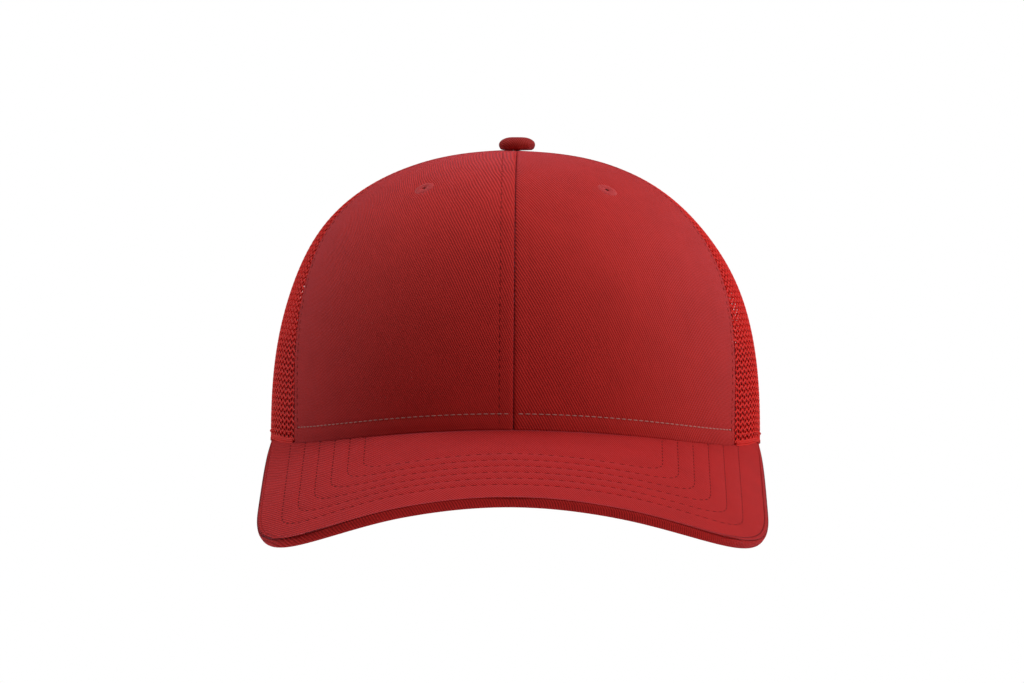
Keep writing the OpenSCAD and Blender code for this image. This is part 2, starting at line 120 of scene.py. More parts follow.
def hem_height(phi):
    held = np.radians(np.minimum(np.abs(phi), HORN_ANGLE))
    height = visor_height(HALF_WIDTH * np.sin(held), -HALF_LENGTH * np.cos(held)) + HEM_CLEARANCE
    return height * (1.0 - smooth((np.abs(phi) - HORN_ANGLE) / HEM_EASE))


def crown_point(phi, share):
    """A point of the dome, at an angle and a share of the way from the hem to the apex."""
    angle, turn = np.radians(phi), np.radians(90.0 * np.asarray(share, float))
    c = np.cos(angle)
    other = np.where(c > 0, FRONT_FULLNESS, REAR_FULLNESS)
    exponent = 2.0 / (SIDE_FULLNESS + (other - SIDE_FULLNESS) * c * c)
    rho = power(np.cos(turn), exponent)
    rise = (1.0 - CROWN_TAPER) * power(np.sin(turn), exponent) + CROWN_TAPER * (1.0 - rho)
    foot = hem_height(phi)
    return np.stack([
        HALF_WIDTH * np.sin(angle) * rho,
        APEX_Y - (HALF_LENGTH * c + APEX_Y) * rho,
        foot + (CROWN_HEIGHT - foot) * rise,
    ], -1)


def unit(vectors):
    return vectors / np.maximum(np.linalg.norm(vectors, axis=-1, keepdims=True), 1e-12)


def run_along(points):
    """Length from the start of a line to each of its points."""
    return np.concatenate([[0], np.cumsum(np.linalg.norm(np.diff(points, axis=0), axis=1))])


def crown_normal(phi, share):
    along = crown_point(phi + 0.5, share) - crown_point(phi - 0.5, share)
    up = crown_point(phi, np.minimum(share + 0.004, 1.0)) - crown_point(phi, np.maximum(share - 0.004, 0.0))
    return unit(np.cross(along, up))


def even_share(s):
    return s ** 1.22 / (s ** 1.22 + (1.0 - s) ** 1.22)


# The climb is the distance up the crown's wall from the hem. It is the true distance near the
# hem and is stretched towards the apex, where it is the same all round. The table turns an
# angle and a climb into a share of the way up.
PHI_GRID = np.arange(-182.0, 182.5, 1.0)
SHARE_GRID = np.minimum(even_share(np.linspace(0.0, 1.0, 500)), TOP_SHARE + 0.004)
WALL = crown_point(PHI_GRID[:, None], SHARE_GRID[None, :])
WALL_LENGTH = np.concatenate(
    [np.zeros((len(PHI_GRID), 1)), np.cumsum(np.linalg.norm(np.diff(WALL, axis=1), axis=2), axis=1)], 1)
CLIMB_TOP = float(np.interp(90.0, PHI_GRID, WALL_LENGTH[:, -1]))
CLIMB_GRID = np.linspace(0.0, CLIMB_TOP, 600)


def climb_table():
    rows = []
    for lengths in WALL_LENGTH:
        k = CLIMB_GRID / CLIMB_TOP
        wanted = CLIMB_GRID * (1.0 + (lengths[-1] / CLIMB_TOP - 1.0) * k * k)
        rows.append(np.interp(wanted, lengths, SHARE_GRID))
    return np.array(rows)


SHARE_TABLE = climb_table()


def share_at_climb(phi, climb):
    phi, climb = np.broadcast_arrays(np.asarray(phi, float), np.asarray(climb, float))
    a = np.clip((phi - PHI_GRID[0]), 0, len(PHI_GRID) - 1.001)
    b = np.clip(climb / CLIMB_TOP, 0, 1) * (len(CLIMB_GRID) - 1.001)
    i, j = a.astype(int), b.astype(int)
    fa, fb = a - i, b - j
    low = SHARE_TABLE[i, j] * (1 - fb) + SHARE_TABLE[i, j + 1] * fb
    high = SHARE_TABLE[i + 1, j] * (1 - fb) + SHARE_TABLE[i + 1, j + 1] * fb
    return low * (1 - fa) + high * fa


def lopsided(phi, height):
    """The worn-in crown is a little fuller on the wearer's right shoulder than on the left."""
    side = np.sin(np.radians(phi))
    return (0.1 - 1.1 * side) * side * side * np.exp(-((height - 77.0) / 18.0) ** 2)


def wall(phi, climb, depth=0.0):
    """Points of the crown at a depth below its outer surface, and the outward normals there."""
    share = share_at_climb(phi, climb)
    normal = crown_normal(phi, share)
    point = crown_point(phi, share)
    offset = lopsided(phi, point[..., 2]) - np.asarray(depth)
    return point + offset[..., None] * normal, normal


def climb_of_height(phi, height):
    """The climb at which the wall reaches a height, by bisection."""
    low, high = np.zeros_like(phi, dtype=float), np.full_like(phi, CLIMB_TOP, dtype=float)
    for _ in range(24):
        middle = (low + high) / 2
        above = wall(phi, middle)[0][..., 2] > height
        low, high = np.where(above, low, middle), np.where(above, middle, high)
    return (low + high) / 2


def side_seam(climb):
    phi = np.full_like(np.asarray(climb, float), SEAM_FOOT)
    for _ in range(4):
        share = share_at_climb(phi, climb)
        phi = SEAM_FOOT + (SEAM_TOP - SEAM_FOOT) * np.sin(np.radians(90 * share)) ** 1.35
    return phi


def arch_curve(alpha, out):
    """Angle and climb of points round the rear opening, out of its edge by a distance."""
    x = (ARCH_HALF_WIDTH + out) * np.cos(np.radians(alpha))
    z = (ARCH_HEIGHT + out) * np.sin(np.radians(alpha))
    phi = np.full_like(x, 150.0)
    for _ in range(8):
        share = share_at_climb(phi, climb_of_height(phi, z))
        c = np.cos(np.radians(phi))
        exponent = 2.0 / (SIDE_FULLNESS + (REAR_FULLNESS - SIDE_FULLNESS) * c * c)
        radius = HALF_WIDTH * power(np.cos(np.radians(90 * share)), exponent)
        phi = 180.0 - np.degrees(np.arcsin(np.clip(np.abs(x) / radius, 0, 1)))
    return np.where(x < 0, -phi, phi), climb_of_height(phi, z)


def visor_face(x, y):
    """Height of the visor's upper face: its tips droop a little, the wearer's right one more."""
    tips = smooth((np.abs(x) - 35.0) / 42.0) * smooth((-HALF_LENGTH - y) / 50.0)
    horns = smooth((y + 38.0) / 16.0)
    return visor_height(x, y) - (1.1 - 0.35 * np.sign(x)) * tips - 0.35 * horns


def visor_point(x, y, depth=0.0):
    h = 0.5
    slope_x = (visor_face(x + h, y) - visor_face(x - h, y)) / (2 * h)
    slope_y = (visor_face(x, y + h) - visor_face(x, y - h)) / (2 * h)
    normal = unit(np.stack([-slope_x, -slope_y, np.ones_like(slope_x)], -1))
    thin = 1.0 - 0.6 * smooth((y + 50.0) / 32.0)
    return np.stack([x, y, visor_face(x, y)], -1) - (np.asarray(depth) * thin)[..., None] * normal, normal


# ---- Meshes ----

def new_object(name, data):
    thing = bpy.data.objects.new(name, data)
    bpy.context.scene.collection.objects.link(thing)
    return thing


def mesh_piece(name, verts, quads, uvs, material):
    """A smooth mesh of quads, from points in millimetres. uvs gives one pair per vertex."""
    mesh = bpy.data.meshes.new(name)
    verts, quads = np.asarray(verts, float).reshape(-1, 3), np.asarray(quads, np.int32).reshape(-1, 4)
    mesh.vertices.add(len(verts))
    mesh.vertices.foreach_set("co", (verts * MM).astype(np.float32).ravel())
    mesh.loops.add(quads.size)
    mesh.loops.foreach_set("vertex_index", quads.ravel())
    mesh.polygons.add(len(quads))
    mesh.polygons.foreach_set("loop_start", np.arange(len(quads), dtype=np.int32) * 4)
    mesh.update(calc_edges=True)
    layer = mesh.uv_layers.new(name="cloth")
    layer.data.foreach_set("uv", np.asarray(uvs, np.float32).reshape(-1, 2)[quads.ravel()].ravel())
    mesh.polygons.foreach_set("use_smooth", np.ones(len(quads), bool))
    mesh.validate()
    mesh.materials.append(material)
    return new_object(name, mesh)


def grid_quads(rows, columns, start=0):
    i, j = np.meshgrid(np.arange(rows - 1), np.arange(columns - 1), indexing="ij")
    a = start + i * columns + j
    return np.stack([a, a + 1, a + columns + 1, a + columns], -1).reshape(-1, 4)


def cloth_piece(name, points, uvs, material, thick, flip=False):
    """A sheet from a grid of points on its face, given thickness towards its back."""
    quads = grid_quads(*np.shape(points)[:2])
    if flip:
        quads = quads[:, ::-1]
    return thicken(mesh_piece(name, points, quads, uvs, material), thick)


def thicken(piece, thick):
    solid = piece.modifiers.new("thickness", "SOLIDIFY")
    solid.thickness = thick * MM
    solid.offset = -1.0
    return piece


class Tubes:
    """Gathers many thin tubes into one mesh."""

    def __init__(self, sides):
        turn = np.arange(sides + 1) / sides * 2 * math.pi
        self.cos, self.sin, self.turn = np.cos(turn), np.sin(turn), np.arange(sides + 1) / sides
        self.verts, self.quads, self.uvs, self.count = [], [], [], 0

    def add(self, path, normals, wide, high):
        """A tube along a path; wide and high are its half sizes across and along the normals."""
        tangent = unit(np.gradient(path, axis=0))
        side = unit(np.cross(tangent, normals))
        up = np.cross(side, tangent)
        wide, high = np.broadcast_to(wide, len(path)), np.broadcast_to(high, len(path))
        ring = (path[:, None] + side[:, None] * (wide[:, None] * self.cos)[..., None]
                + up[:, None] * (high[:, None] * self.sin)[..., None])
        length = run_along(path)
        self.verts.append(ring.reshape(-1, 3))
        self.uvs.append(np.stack(np.broadcast_arrays(length[:, None], self.turn[None, :]), -1).reshape(-1, 2))
        self.quads.append(grid_quads(len(path), len(self.cos), self.count))
        self.count += ring.shape[0] * ring.shape[1]

    def piece(self, name, material):
        return mesh_piece(name, np.concatenate(self.verts), np.concatenate(self.quads),
                          np.concatenate(self.uvs), material)


def path_points(path, at):
    """Points and lengths along a dense path."""
    length = run_along(path)
    return np.stack([np.interp(at, length, path[:, k]) for k in range(path.shape[1])], -1), length[-1]


def add_stitches(tubes, path, normals, pitch, share, radius, sink=0.12):
    """A row of stitches: short threads that rise out of the cloth and dip back into it."""
    total = path_points(path, 0.0)[1]
    s = np.linspace(0.0, 1.0, 6)
    for k in range(int(total / pitch)):
        at = (k + 0.5 * (1 - share) + s * share) * pitch
        points = path_points(path, at)[0]
        up = unit(path_points(path + normals, at)[0] - points)
        lift = radius * 0.9 * np.sin(math.pi * s) ** 0.6 - sink
        size = radius * (0.55 + 0.45 * np.sin(math.pi * s) ** 0.5)
        tubes.add(points + up * lift[:, None], up, size, size * 0.8)


# ---- Materials ----

class Paint:
    """Builds a procedural material, one node at a time."""

    def __init__(self, name):
        self.material = bpy.data.materials.new(name)
        self.material.use_nodes = True
        self.tree = self.material.node_tree
        self.shader = self.tree.nodes["Principled BSDF"]

    def add(self, kind, *links, **settings):
        node = self.tree.nodes.new(kind)
        for key, value in settings.items():
            setattr(node, key, value)
        for index, value in enumerate(links):
            self.feed(node.inputs[index], value)
        return node

    def feed(self, socket, value):
        if value is None:
            return
        if isinstance(value, bpy.types.NodeSocket):
            self.tree.links.new(value, socket)
        else:
            socket.default_value = value

    def math(self, operation, a, b=None):
        return self.add("ShaderNodeMath", a, b, operation=operation).outputs[0]

    def plus(self, a, b):
        return self.math("ADD", a, b)

    def times(self, a, b):
        return self.math("MULTIPLY", a, b)

    def mix(self, factor, a, b):
        node = self.tree.nodes.new("ShaderNodeMix")
        node.data_type = "RGBA"
        self.feed(node.inputs[0], factor)
        self.feed(node.inputs[6], a)
        self.feed(node.inputs[7], b)
        return node.outputs[2]

    def cloth_coordinates(self):
        uv = self.tree.nodes.new("ShaderNodeUVMap")
        uv.uv_map = "cloth"
        split = self.add("ShaderNodeSeparateXYZ", uv.outputs[0])
        return uv.outputs[0], split.outputs[0], split.outputs[1]

    def noise(self, vector, scale, detail=2.0):
        node = self.add("ShaderNodeTexNoise")
        self.feed(node.inputs["Vector"], vector)
        node.inputs["Scale"].default_value = scale
        node.inputs["Detail"].default_value = detail
        return node.outputs[0]

    def object_noise(self, scale, detail=2.0):
        place = self.tree.nodes.new("ShaderNodeTexCoord")
        return self.noise(place.outputs["Object"], scale, detail)

    def wave(self, value, period, offset=0.0):
        """0 to 1 and back once in each period."""
        turns = self.times(value, 2 * math.pi / period)
        return self.math("MULTIPLY_ADD", self.math("SINE", self.plus(turns, offset)), 0.5)

    def bump(self, height, distance, strength=1.0):
        node = self.tree.nodes.new("ShaderNodeBump")
        node.inputs["Strength"].default_value = strength
        node.inputs["Distance"].default_value = distance * MM
        self.feed(node.inputs["Height"], height)
        self.tree.links.new(node.outputs[0], self.shader.inputs["Normal"])

    def finish(self, colour, roughness, **constants):
        self.feed(self.shader.inputs["Base Color"], colour)
        self.feed(self.shader.inputs["Roughness"], roughness)
        for name, value in constants.items():
            self.shader.inputs[name.replace("_", " ")].default_value = value
        return self.material


def rgb(r, g, b):
    return (r, g, b, 1.0)


def twill(name, slant, valley_shade, crest, pitch=0.82, sheen=0.3, ease=0.0, curl=0.0):
    """Cotton twill: slanting ribs of short floats, with mottling, a dusty sheen and painted shade in the rib
    valleys.
    """
    p = Paint(name)
    uv, u, v = p.cloth_coordinates()
    c, s = math.cos(math.radians(slant)), math.sin(math.radians(slant))
    drift = p.times(p.noise(uv, 0.09, 1.0), 0.8)
    lean = p.plus(p.plus(p.times(v, -ease), p.times(u, curl)), s)
    across = p.plus(p.plus(p.times(u, c), p.times(v, lean)), drift)
    along = p.plus(p.times(u, -s), p.times(v, c))
    rib = p.math("POWER", p.plus(p.wave(across, pitch), 0.5), 1.5)
    row = p.math("FLOOR", p.math("DIVIDE", across, pitch))
    floats = p.plus(p.wave(p.plus(along, p.times(row, 0.31)), 0.62), 0.5)
    fibre = p.noise(uv, 7.0, 3.0)
    height = p.times(rib, p.plus(p.times(floats, 0.5), 0.5))
    height = p.plus(height, p.times(fibre, 0.35))
    blotch = p.noise(uv, 0.08, 3.0)
    streak = p.noise(p.add("ShaderNodeCombineXYZ", p.times(across, 1.4),
                           p.times(along, 0.12), 0.0).outputs[0], 1.0, 2.0)
    # The colour follows the ribs' height: the valleys are painted shade, darker than the crests, and streaks
    # and blotches vary it at random.
    tone = p.plus(p.times(height, 0.62), p.times(streak, 0.3))
    tone = p.plus(tone, p.times(p.math("SUBTRACT", blotch, 0.5), 0.35))
    colour = p.mix(p.add("ShaderNodeClamp", tone).outputs[0], valley_shade, crest)
    p.bump(height, 0.16, 0.8)
    rough = p.math("SUBTRACT", 0.95, p.times(rib, 0.1))
    return p.finish(colour, rough, Sheen_Weight=sheen, Sheen_Roughness=0.3,
                    Sheen_Tint=rgb(1.0, 0.35, 0.5), Specular_IOR_Level=0.1)


def thread(name, dark, light, twist=0.55, gloss=0.5, sheen=0.08, specular=0.3):
    """Twisted thread: the cloth coordinates run along and round it."""
    p = Paint(name)
    _, u, v = p.cloth_coordinates()
    ply = p.plus(p.wave(p.plus(u, p.times(v, twist * 2)), twist), 0.5)
    fuzz = p.object_noise(900.0, 2.0)
    # The colour follows the ply's twist: painted shade in the grooves between plies and a painted highlight
    # on their crests, with random fuzz.
    tone = p.plus(p.times(ply, 0.6), p.times(fuzz, 0.4))
    p.bump(ply, 0.06, 0.7)
    rough = p.plus(gloss, p.times(fuzz, 0.2))
    return p.finish(p.mix(tone, dark, light), rough, Sheen_Weight=sheen, Sheen_Roughness=0.4,
                    Specular_IOR_Level=specular)


def tape_cloth(name, dark, light):
    """Narrow tape woven in a fine herringbone."""
    p = Paint(name)
    uv, u, v = p.cloth_coordinates()
    fold = p.math("PINGPONG", u, 1.6)
    rib = p.plus(p.wave(p.plus(v, fold), 0.7), 0.5)
    fibre = p.noise(uv, 6.0, 3.0)
    height = p.plus(p.times(rib, 0.75), p.times(fibre, 0.25))
    p.bump(height, 0.12, 0.8)
    rough = p.plus(0.8, p.times(fibre, 0.15))
    return p.finish(p.mix(height, dark, light), rough, Sheen_Weight=0.1, Sheen_Roughness=0.4,
                    Specular_IOR_Level=0.2)


def open_weave(name, dark, light):
    """Stiff plain-woven interfacing with a clear over-and-under grid."""
    p = Paint(name)
    uv, u, v = p.cloth_coordinates()
    over = p.times(p.plus(p.wave(u, 1.0), 0.5), p.plus(p.wave(v, 1.0), 0.5))
    under = p.times(p.plus(p.wave(u, 1.0, math.pi), 0.5),
                   p.plus(p.wave(v, 1.0, math.pi), 0.5))
    height = p.plus(over, under)
    glue = p.noise(uv, 0.5, 2.0)
    tone = p.plus(p.times(height, 0.7), p.times(glue, 0.3))
    p.bump(height, 0.15, 0.8)
    rough = p.plus(0.75, p.times(glue, 0.2))
    return p.finish(p.mix(tone, dark, light), rough, Specular_IOR_Level=0.3)


def moulded_plastic(name, dark, light):
    """Satin moulded plastic with a faint grain and slight clouding."""
    p = Paint(name)
    grain = p.object_noise(2600.0, 3.0)
    cloud = p.object_noise(120.0, 2.0)
    p.bump(grain, 0.02, 0.5)
    rough = p.plus(0.3, p.times(grain, 0.22))
    return p.finish(p.mix(cloud, dark, light), rough, Specular_IOR_Level=0.5)


def tin_plate(name):
    """Tumbled tin plate with fine scratches."""
    p = Paint(name)
    scratch = p.object_noise(1500.0, 4.0)
    p.bump(scratch, 0.02, 0.4)
    rough = p.plus(0.25, p.times(scratch, 0.25))
    return p.finish(p.mix(scratch, rgb(0.45, 0.45, 0.46), rgb(0.7, 0.7, 0.71)), rough, Metallic=1.0)


def pale_floor(name):
    """Matte studio floor with a hardly visible texture."""
    p = Paint(name)
    speck = p.object_noise(40.0, 3.0)
    return p.finish(p.mix(speck, rgb(0.86, 0.86, 0.86), rgb(0.92, 0.92, 0.92)), 0.9)


# The dark red is painted shade, laid in the twills' rib valleys.
VALLEY_SHADE_RED, CREST_RED = rgb(0.12, 0.004, 0.004), rgb(0.69, 0.036, 0.031)

TWILL_LEFT = twill("twill_left_panel", 30.0, VALLEY_SHADE_RED, CREST_RED)
TWILL_RIGHT = twill("twill_right_panel", 28.0, VALLEY_SHADE_RED, CREST_RED, pitch=0.64, ease=0.0018, curl=-0.003)
# The visor's twill is the front panels' cloth with a dimmer crest: painted shade over the whole visor.
TWILL_VISOR_SHADED = twill("twill_visor_shaded", 25.0, VALLEY_SHADE_RED, rgb(0.64, 0.024, 0.022), sheen=0.2)
TWILL_UNDER = twill("twill_under_visor", 40.0, VALLEY_SHADE_RED, rgb(0.46, 0.018, 0.022))
TWILL_BUTTON = twill("twill_button", 30.0, VALLEY_SHADE_RED, rgb(0.46, 0.03, 0.024), pitch=0.7)
TWILL_BINDING = twill("twill_binding", 50.0, VALLEY_SHADE_RED, rgb(0.46, 0.018, 0.022))
TWILL_BAND = twill("twill_band", 45.0, rgb(0.1, 0.003, 0.004), rgb(0.34, 0.012, 0.016), pitch=0.7)
# The net yarn's light end is a painted highlight and its dark end painted shade, laid along the twist of its
# plies.
NET_YARN = thread("net_yarn", rgb(0.36, 0.004, 0.003), rgb(0.86, 0.02, 0.014), twist=0.8, gloss=0.5,
                  sheen=0.0, specular=0.12)
MATCHING_THREAD = thread("matching_thread", rgb(0.1, 0.002, 0.003), rgb(0.3, 0.009, 0.01),
                         sheen=0.0, specular=0.12)
VISOR_THREAD = thread("visor_thread", rgb(0.04, 0.001, 0.002), rgb(0.16, 0.004, 0.006),
                      sheen=0.0, specular=0.06)
PALE_THREAD = thread("pale_thread", rgb(0.26, 0.06, 0.055), rgb(0.66, 0.27, 0.24))
TAPE = tape_cloth("tape_cloth", rgb(0.12, 0.006, 0.01), rgb(0.38, 0.026, 0.034))
INTERFACING = open_weave("interfacing", rgb(0.5, 0.48, 0.44), rgb(0.82, 0.8, 0.76))
STRAP_PLASTIC = moulded_plastic("strap_plastic", rgb(0.38, 0.012, 0.018), rgb(0.46, 0.018, 0.024))
BOARD_PLASTIC = moulded_plastic("board_plastic", rgb(0.7, 0.7, 0.67), rgb(0.8, 0.8, 0.78))
TIN = tin_plate("tin_plate")
FOAM = open_weave("foam_sheet", rgb(0.6, 0.58, 0.52), rgb(0.8, 0.78, 0.72))
PIPING = tape_cloth("piping_cloth", rgb(0.12, 0.006, 0.01), rgb(0.42, 0.03, 0.036))
EYELET_THREAD = thread("eyelet_thread", rgb(0.24, 0.009, 0.012), rgb(0.66, 0.035, 0.04))


def place(piece, body, slot, *nodes):
    """Puts a finished piece on its body, in place of the CAD nodes it stands for."""
    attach(piece, body)
    if nodes:
        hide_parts(*nodes)
    return piece


# ---- Crown panels ----

EDGE_STEPS = [0.0, 0.25, 0.55, 0.9, 1.4, 2.2, 3.2, 3.9, 4.3, 4.7, 5.1, 5.5, 6.2, 7.4, 9.2, 11.5]


def seam_dip(distance, phase, seam_phase):
    """How far the cloth sinks at a distance from a seam: a rolled edge, a puffed
    allowance, and dimples where the topstitching pulls it down."""
    roll = np.clip(1.0 - distance / 1.5, 0.0, 1.0)
    sink = 0.85 * (1.0 - np.sqrt(1.0 - roll * roll))
    dimple = 0.07 + 0.05 * np.cos(phase + seam_phase)
    groove = dimple * np.exp(-((distance - SEAM_STITCH_INSET) / 0.5) ** 2)
    puff = 0.1 * np.exp(-((distance - 2.6) / 1.3) ** 2)
    return sink + groove - puff


def hem_dip(climb, across):
    """The hem's groove under its row of stitches, puckered from stitch to stitch."""
    dimple = 0.16 + 0.06 * np.cos(2 * math.pi * across / HEM_PITCH)
    puff = 0.12 * np.exp(-((climb - 2.2) / 1.4) ** 2)
    return dimple * np.exp(-((climb - HEM_STITCH_HEIGHT) / 0.55) ** 2) - puff


def hem_inward(points):
    """Level outward directions of the hem."""
    flat = points * np.array([1.0, 1.0, 0.0]) / np.array([HALF_WIDTH, HALF_LENGTH, 1.0]) ** 2
    return unit(flat)


def spread_across(low, high, climb, positions):
    """Angles at given distances across the wall, from the angle low to the angle high."""
    dense = np.linspace(low, high, 90)
    points = wall(dense, climb)[0]
    length = run_along(points)
    return np.interp(positions(length[-1]), length, dense), positions(length[-1]), length[-1]


def panel_columns(width, middle):
    scale = min(1.0, width / (2.7 * EDGE_STEPS[-1]))
    near = np.array(EDGE_STEPS) * scale
    between = np.linspace(near[-1], width - near[-1], middle + 2)[1:-1]
    return np.concatenate([near, between, width - near[::-1]])


def front_panel(name, side, material, node):
    """One twill front panel; side is +1 for the wearer's left and -1 for the right."""
    climbs = np.concatenate([EDGE_STEPS, np.linspace(EDGE_STEPS[-1], CLIMB_TOP, 72)[1:]])
    points, uvs = [], []
    for climb in climbs:
        high = float(side_seam(climb)) - 0.1
        low = min(math.degrees(0.03 / HALF_WIDTH), high * 0.5)
        phi, across, width = spread_across(low, high, climb, lambda w: panel_columns(w, 40))
        narrow = min(1.0, width / 26.0)
        depth = seam_dip(across / max(narrow, 0.05), 2 * math.pi * climb / SEAM_PITCH, 1.6)
        shifted = (width - across) / max(narrow, 0.05)
        near = np.clip(shifted / SIDE_STITCH_INSET, 0, 1)
        shifted = shifted + (SEAM_STITCH_INSET - SIDE_STITCH_INSET) * near
        depth = depth + seam_dip(shifted, 2 * math.pi * climb / SEAM_PITCH, 0.6)
        depth = depth * narrow + hem_dip(climb, across) + eyelet_dish(side * phi, climb, side)
        points.append(wall(side * phi, climb, depth)[0])
        uvs.append(np.stack([side * across, np.full_like(across, climb)], -1))
    # The cloth turns under at the hem
    for drop, tuck in ((0.35, 0.35), (0.5, 0.0), (0.3, -0.5)):
        points.insert(0, points[0] + np.array([0.0, 0.0, -drop]) - hem_inward(points[0]) * (0.35 - tuck))
        uvs.insert(0, uvs[0] - np.array([0.0, 0.5]))
    points, uvs = np.array(points), np.array(uvs)
    quads = grid_quads(*points.shape[:2])
    points, quads = open_eyelet(points, quads, side, 0.3)
    piece = mesh_piece(name, points, quads[:, ::-1] if side < 0 else quads, uvs, material)
    thicken(piece, 0.5)
    return place(piece, "cap", "red_twill", node)


EYELET_CLIMB = float(np.interp(EYELET_RISE, SHARE_TABLE[int(EYELET_ANGLE - PHI_GRID[0])], CLIMB_GRID))


def eyelet_centre(side, depth=0.0):
    points, normals = wall(np.array([side * EYELET_ANGLE]), np.array([EYELET_CLIMB]), np.array([depth]))
    return points[0], normals[0]


def eyelet_dish(phi, climb, side):
    """The panel is drawn in a little round its eyelet."""
    points = wall(phi, climb)[0]
    distance = np.linalg.norm(points - eyelet_centre(side)[0], axis=-1)
    return 0.3 * np.exp(-(distance / 4.2) ** 2)


def open_eyelet(points, quads, side, depth):
    """Pushes the cloth apart round the eyelet, as an awl does, and opens the face at its middle."""
    middle = eyelet_centre(side, depth)[0]
    away = points - middle
    distance = np.linalg.norm(away, axis=-1, keepdims=True)
    reach = 7.0
    spread = 1.5 + distance * (reach - 1.5) / reach
    opened = np.where(distance < reach, middle + unit(away) * spread, points)
    centres = points.reshape(-1, 3)[quads].mean(axis=1)
    keep = np.ones(len(quads), bool)
    keep[np.argmin(np.linalg.norm(centres - middle, axis=1))] = False
    return opened, quads[keep]


front_panel("front_panel_left_twill", 1, TWILL_LEFT, "front_panel_left")
front_panel("front_panel_right_twill", -1, TWILL_RIGHT, "front_panel_right")


# ---- Net panels ----

def net_wave(u):
    """Zigzag of the net's courses, with rounded turns."""
    s = np.cos(2 * math.pi * u / NET_PERIOD)
    return NET_WAVE * (0.72 * np.arcsin(s) * 2 / math.pi + 0.28 * s)


def net_panel(name, low, high, grain, side, node, keep=None):
    """Knitted net: courses of zigzag yarn that lie above each other, joined by short wales at
    their turns. low and high give the panel's edges at a climb; grain is the angle of the cut."""
    tubes = Tubes(6)
    step = NET_PERIOD / 10
    before = None
    for k in range(int(CLIMB_TOP / NET_ROW)):
        climb = (k + 0.5) * NET_ROW
        a, b = float(low(climb)), float(high(climb))
        if b - a < 1.0:
            break
        dense = np.linspace(a, b, 120)
        line = wall(dense, climb)[0]
        length = run_along(line)
        middle = float(np.interp(grain, dense, length))
        first, last = math.ceil((length[0] - middle) / step), int((length[-1] - middle) / step)
        steps = np.arange(first, last + 1)
        if len(steps) < 6:
            break
        u = steps * step
        phi = np.interp(u + middle, length, dense)
        height = climb + net_wave(u)
        points, normals = wall(side * phi, height, NET_HALF_YARN)
        good = np.ones(len(u), bool) if keep is None else keep(points)
        edges = np.flatnonzero(np.diff(np.concatenate([[0], good.astype(int), [0]])))
        swell = 1.0 + 0.15 * np.cos(4 * math.pi * u / NET_PERIOD)
        for start, end in zip(edges[::2], edges[1::2]):
            if end - start > 3:
                tubes.add(points[start:end], normals[start:end], NET_HALF_YARN * swell[start:end], 0.26)
        turns = np.flatnonzero(steps % 5 == 0)
        here = {int(steps[t]): (phi[t], height[t]) for t in turns if good[t]}
        if before is not None:
            for key, (phi_top, height_top) in here.items():
                if key in before:
                    s = np.linspace(0, 1, 4)
                    phi_low, height_low = before[key]
                    wale = wall(side * (phi_low + (phi_top - phi_low) * s),
                                height_low + (height_top - height_low) * s, 0.62 + 0.1 * np.sin(math.pi * s))
                    tubes.add(wale[0], wale[1], NET_HALF_WALE * (1.15 - 0.3 * np.sin(math.pi * s)), 0.24)
        before = here
    return place(tubes.piece(name, NET_YARN), "cap", "red_net", node)


def clear_of_arch(points):
    """True where the net lies outside the rear opening."""
    inside = (points[:, 0] / ARCH_HALF_WIDTH) ** 2 + (points[:, 2] / ARCH_HEIGHT) ** 2
    return inside > 1.0


for side, word in ((1, "left"), (-1, "right")):
    net_panel(f"side_net_{word}", side_seam, lambda c: BACK_SEAM, 95.0, side, f"side_mesh_{word}")
    net_panel(f"back_net_{word}", lambda c: BACK_SEAM, lambda c: 179.9, 150.0, side,
              f"back_mesh_{word}", clear_of_arch)


# ---- Buckram, tapes, hems and binding ----

def across_wall(middle, climb, distance):
    """Angles at signed distances from a middle angle, level round the wall."""
    step = wall(np.array([middle - 0.5, middle + 0.5]), climb)[0]
    return np.asarray(distance) / max(np.linalg.norm(step[1] - step[0]), 0.02)


def buckram(name, side, node):
    """Stiffening behind one front panel, up to the tape over its side seam."""
    climbs = np.concatenate([[1.6, 2.6], np.linspace(4.5, CLIMB_TOP, 58)])
    points, uvs = [], []
    for climb in climbs:
        high = float(side_seam(climb)) - BUCKRAM_SEAM_GAP
        phi, across, _ = spread_across(0.12, high, climb, lambda w: np.linspace(0, w, 36))
        points.append(wall(side * phi, climb, BUCKRAM_DEPTH)[0])
        uvs.append(np.stack([side * across, np.full_like(across, climb)], -1))
    points = np.array(points)
    quads = grid_quads(*points.shape[:2])
    points, quads = open_eyelet(points, quads, side, BUCKRAM_DEPTH)
    piece = mesh_piece(name, points, quads[:, ::-1] if side < 0 else quads, np.array(uvs), INTERFACING)
    thicken(piece, 0.8)
    place(piece, "cap", "buckram", node)


def wall_strip(name, side, rows, depth, thick, material, slot, node, columns=17, shape=None):
    """A strip of cloth on the wall. rows gives a climb, a middle angle and a half width in
    degrees for each row; shape gives how far the face bulges inwards across and along it."""
    points, uvs = [], []
    for climb, middle, half in rows:
        s = np.linspace(-1.0, 1.0, columns)
        phi = middle + s * half
        bulge = 0.0 if shape is None else shape(s, climb)
        line = wall(side * phi, climb, depth + bulge)[0]
        across = run_along(line)
        points.append(line)
        uvs.append(np.stack([np.full(columns, climb), across - across[-1] / 2], -1))
    piece = cloth_piece(name, points, uvs, material, thick, flip=side < 0)
    return place(piece, "cap", slot, node)


def tape_shape(s, climb):
    """Folded edges, and two sewn grooves with a full middle."""
    edge = 0.22 * np.clip((np.abs(s) - 0.88) / 0.12, 0, 1) ** 2
    groove = 0.14 * np.exp(-((np.abs(s) - TAPE_SEWN) / 0.09) ** 2) * (1.0 + 0.3 * math.cos(climb * 2.4))
    return 0.1 * (1.0 - s * s) - edge - groove


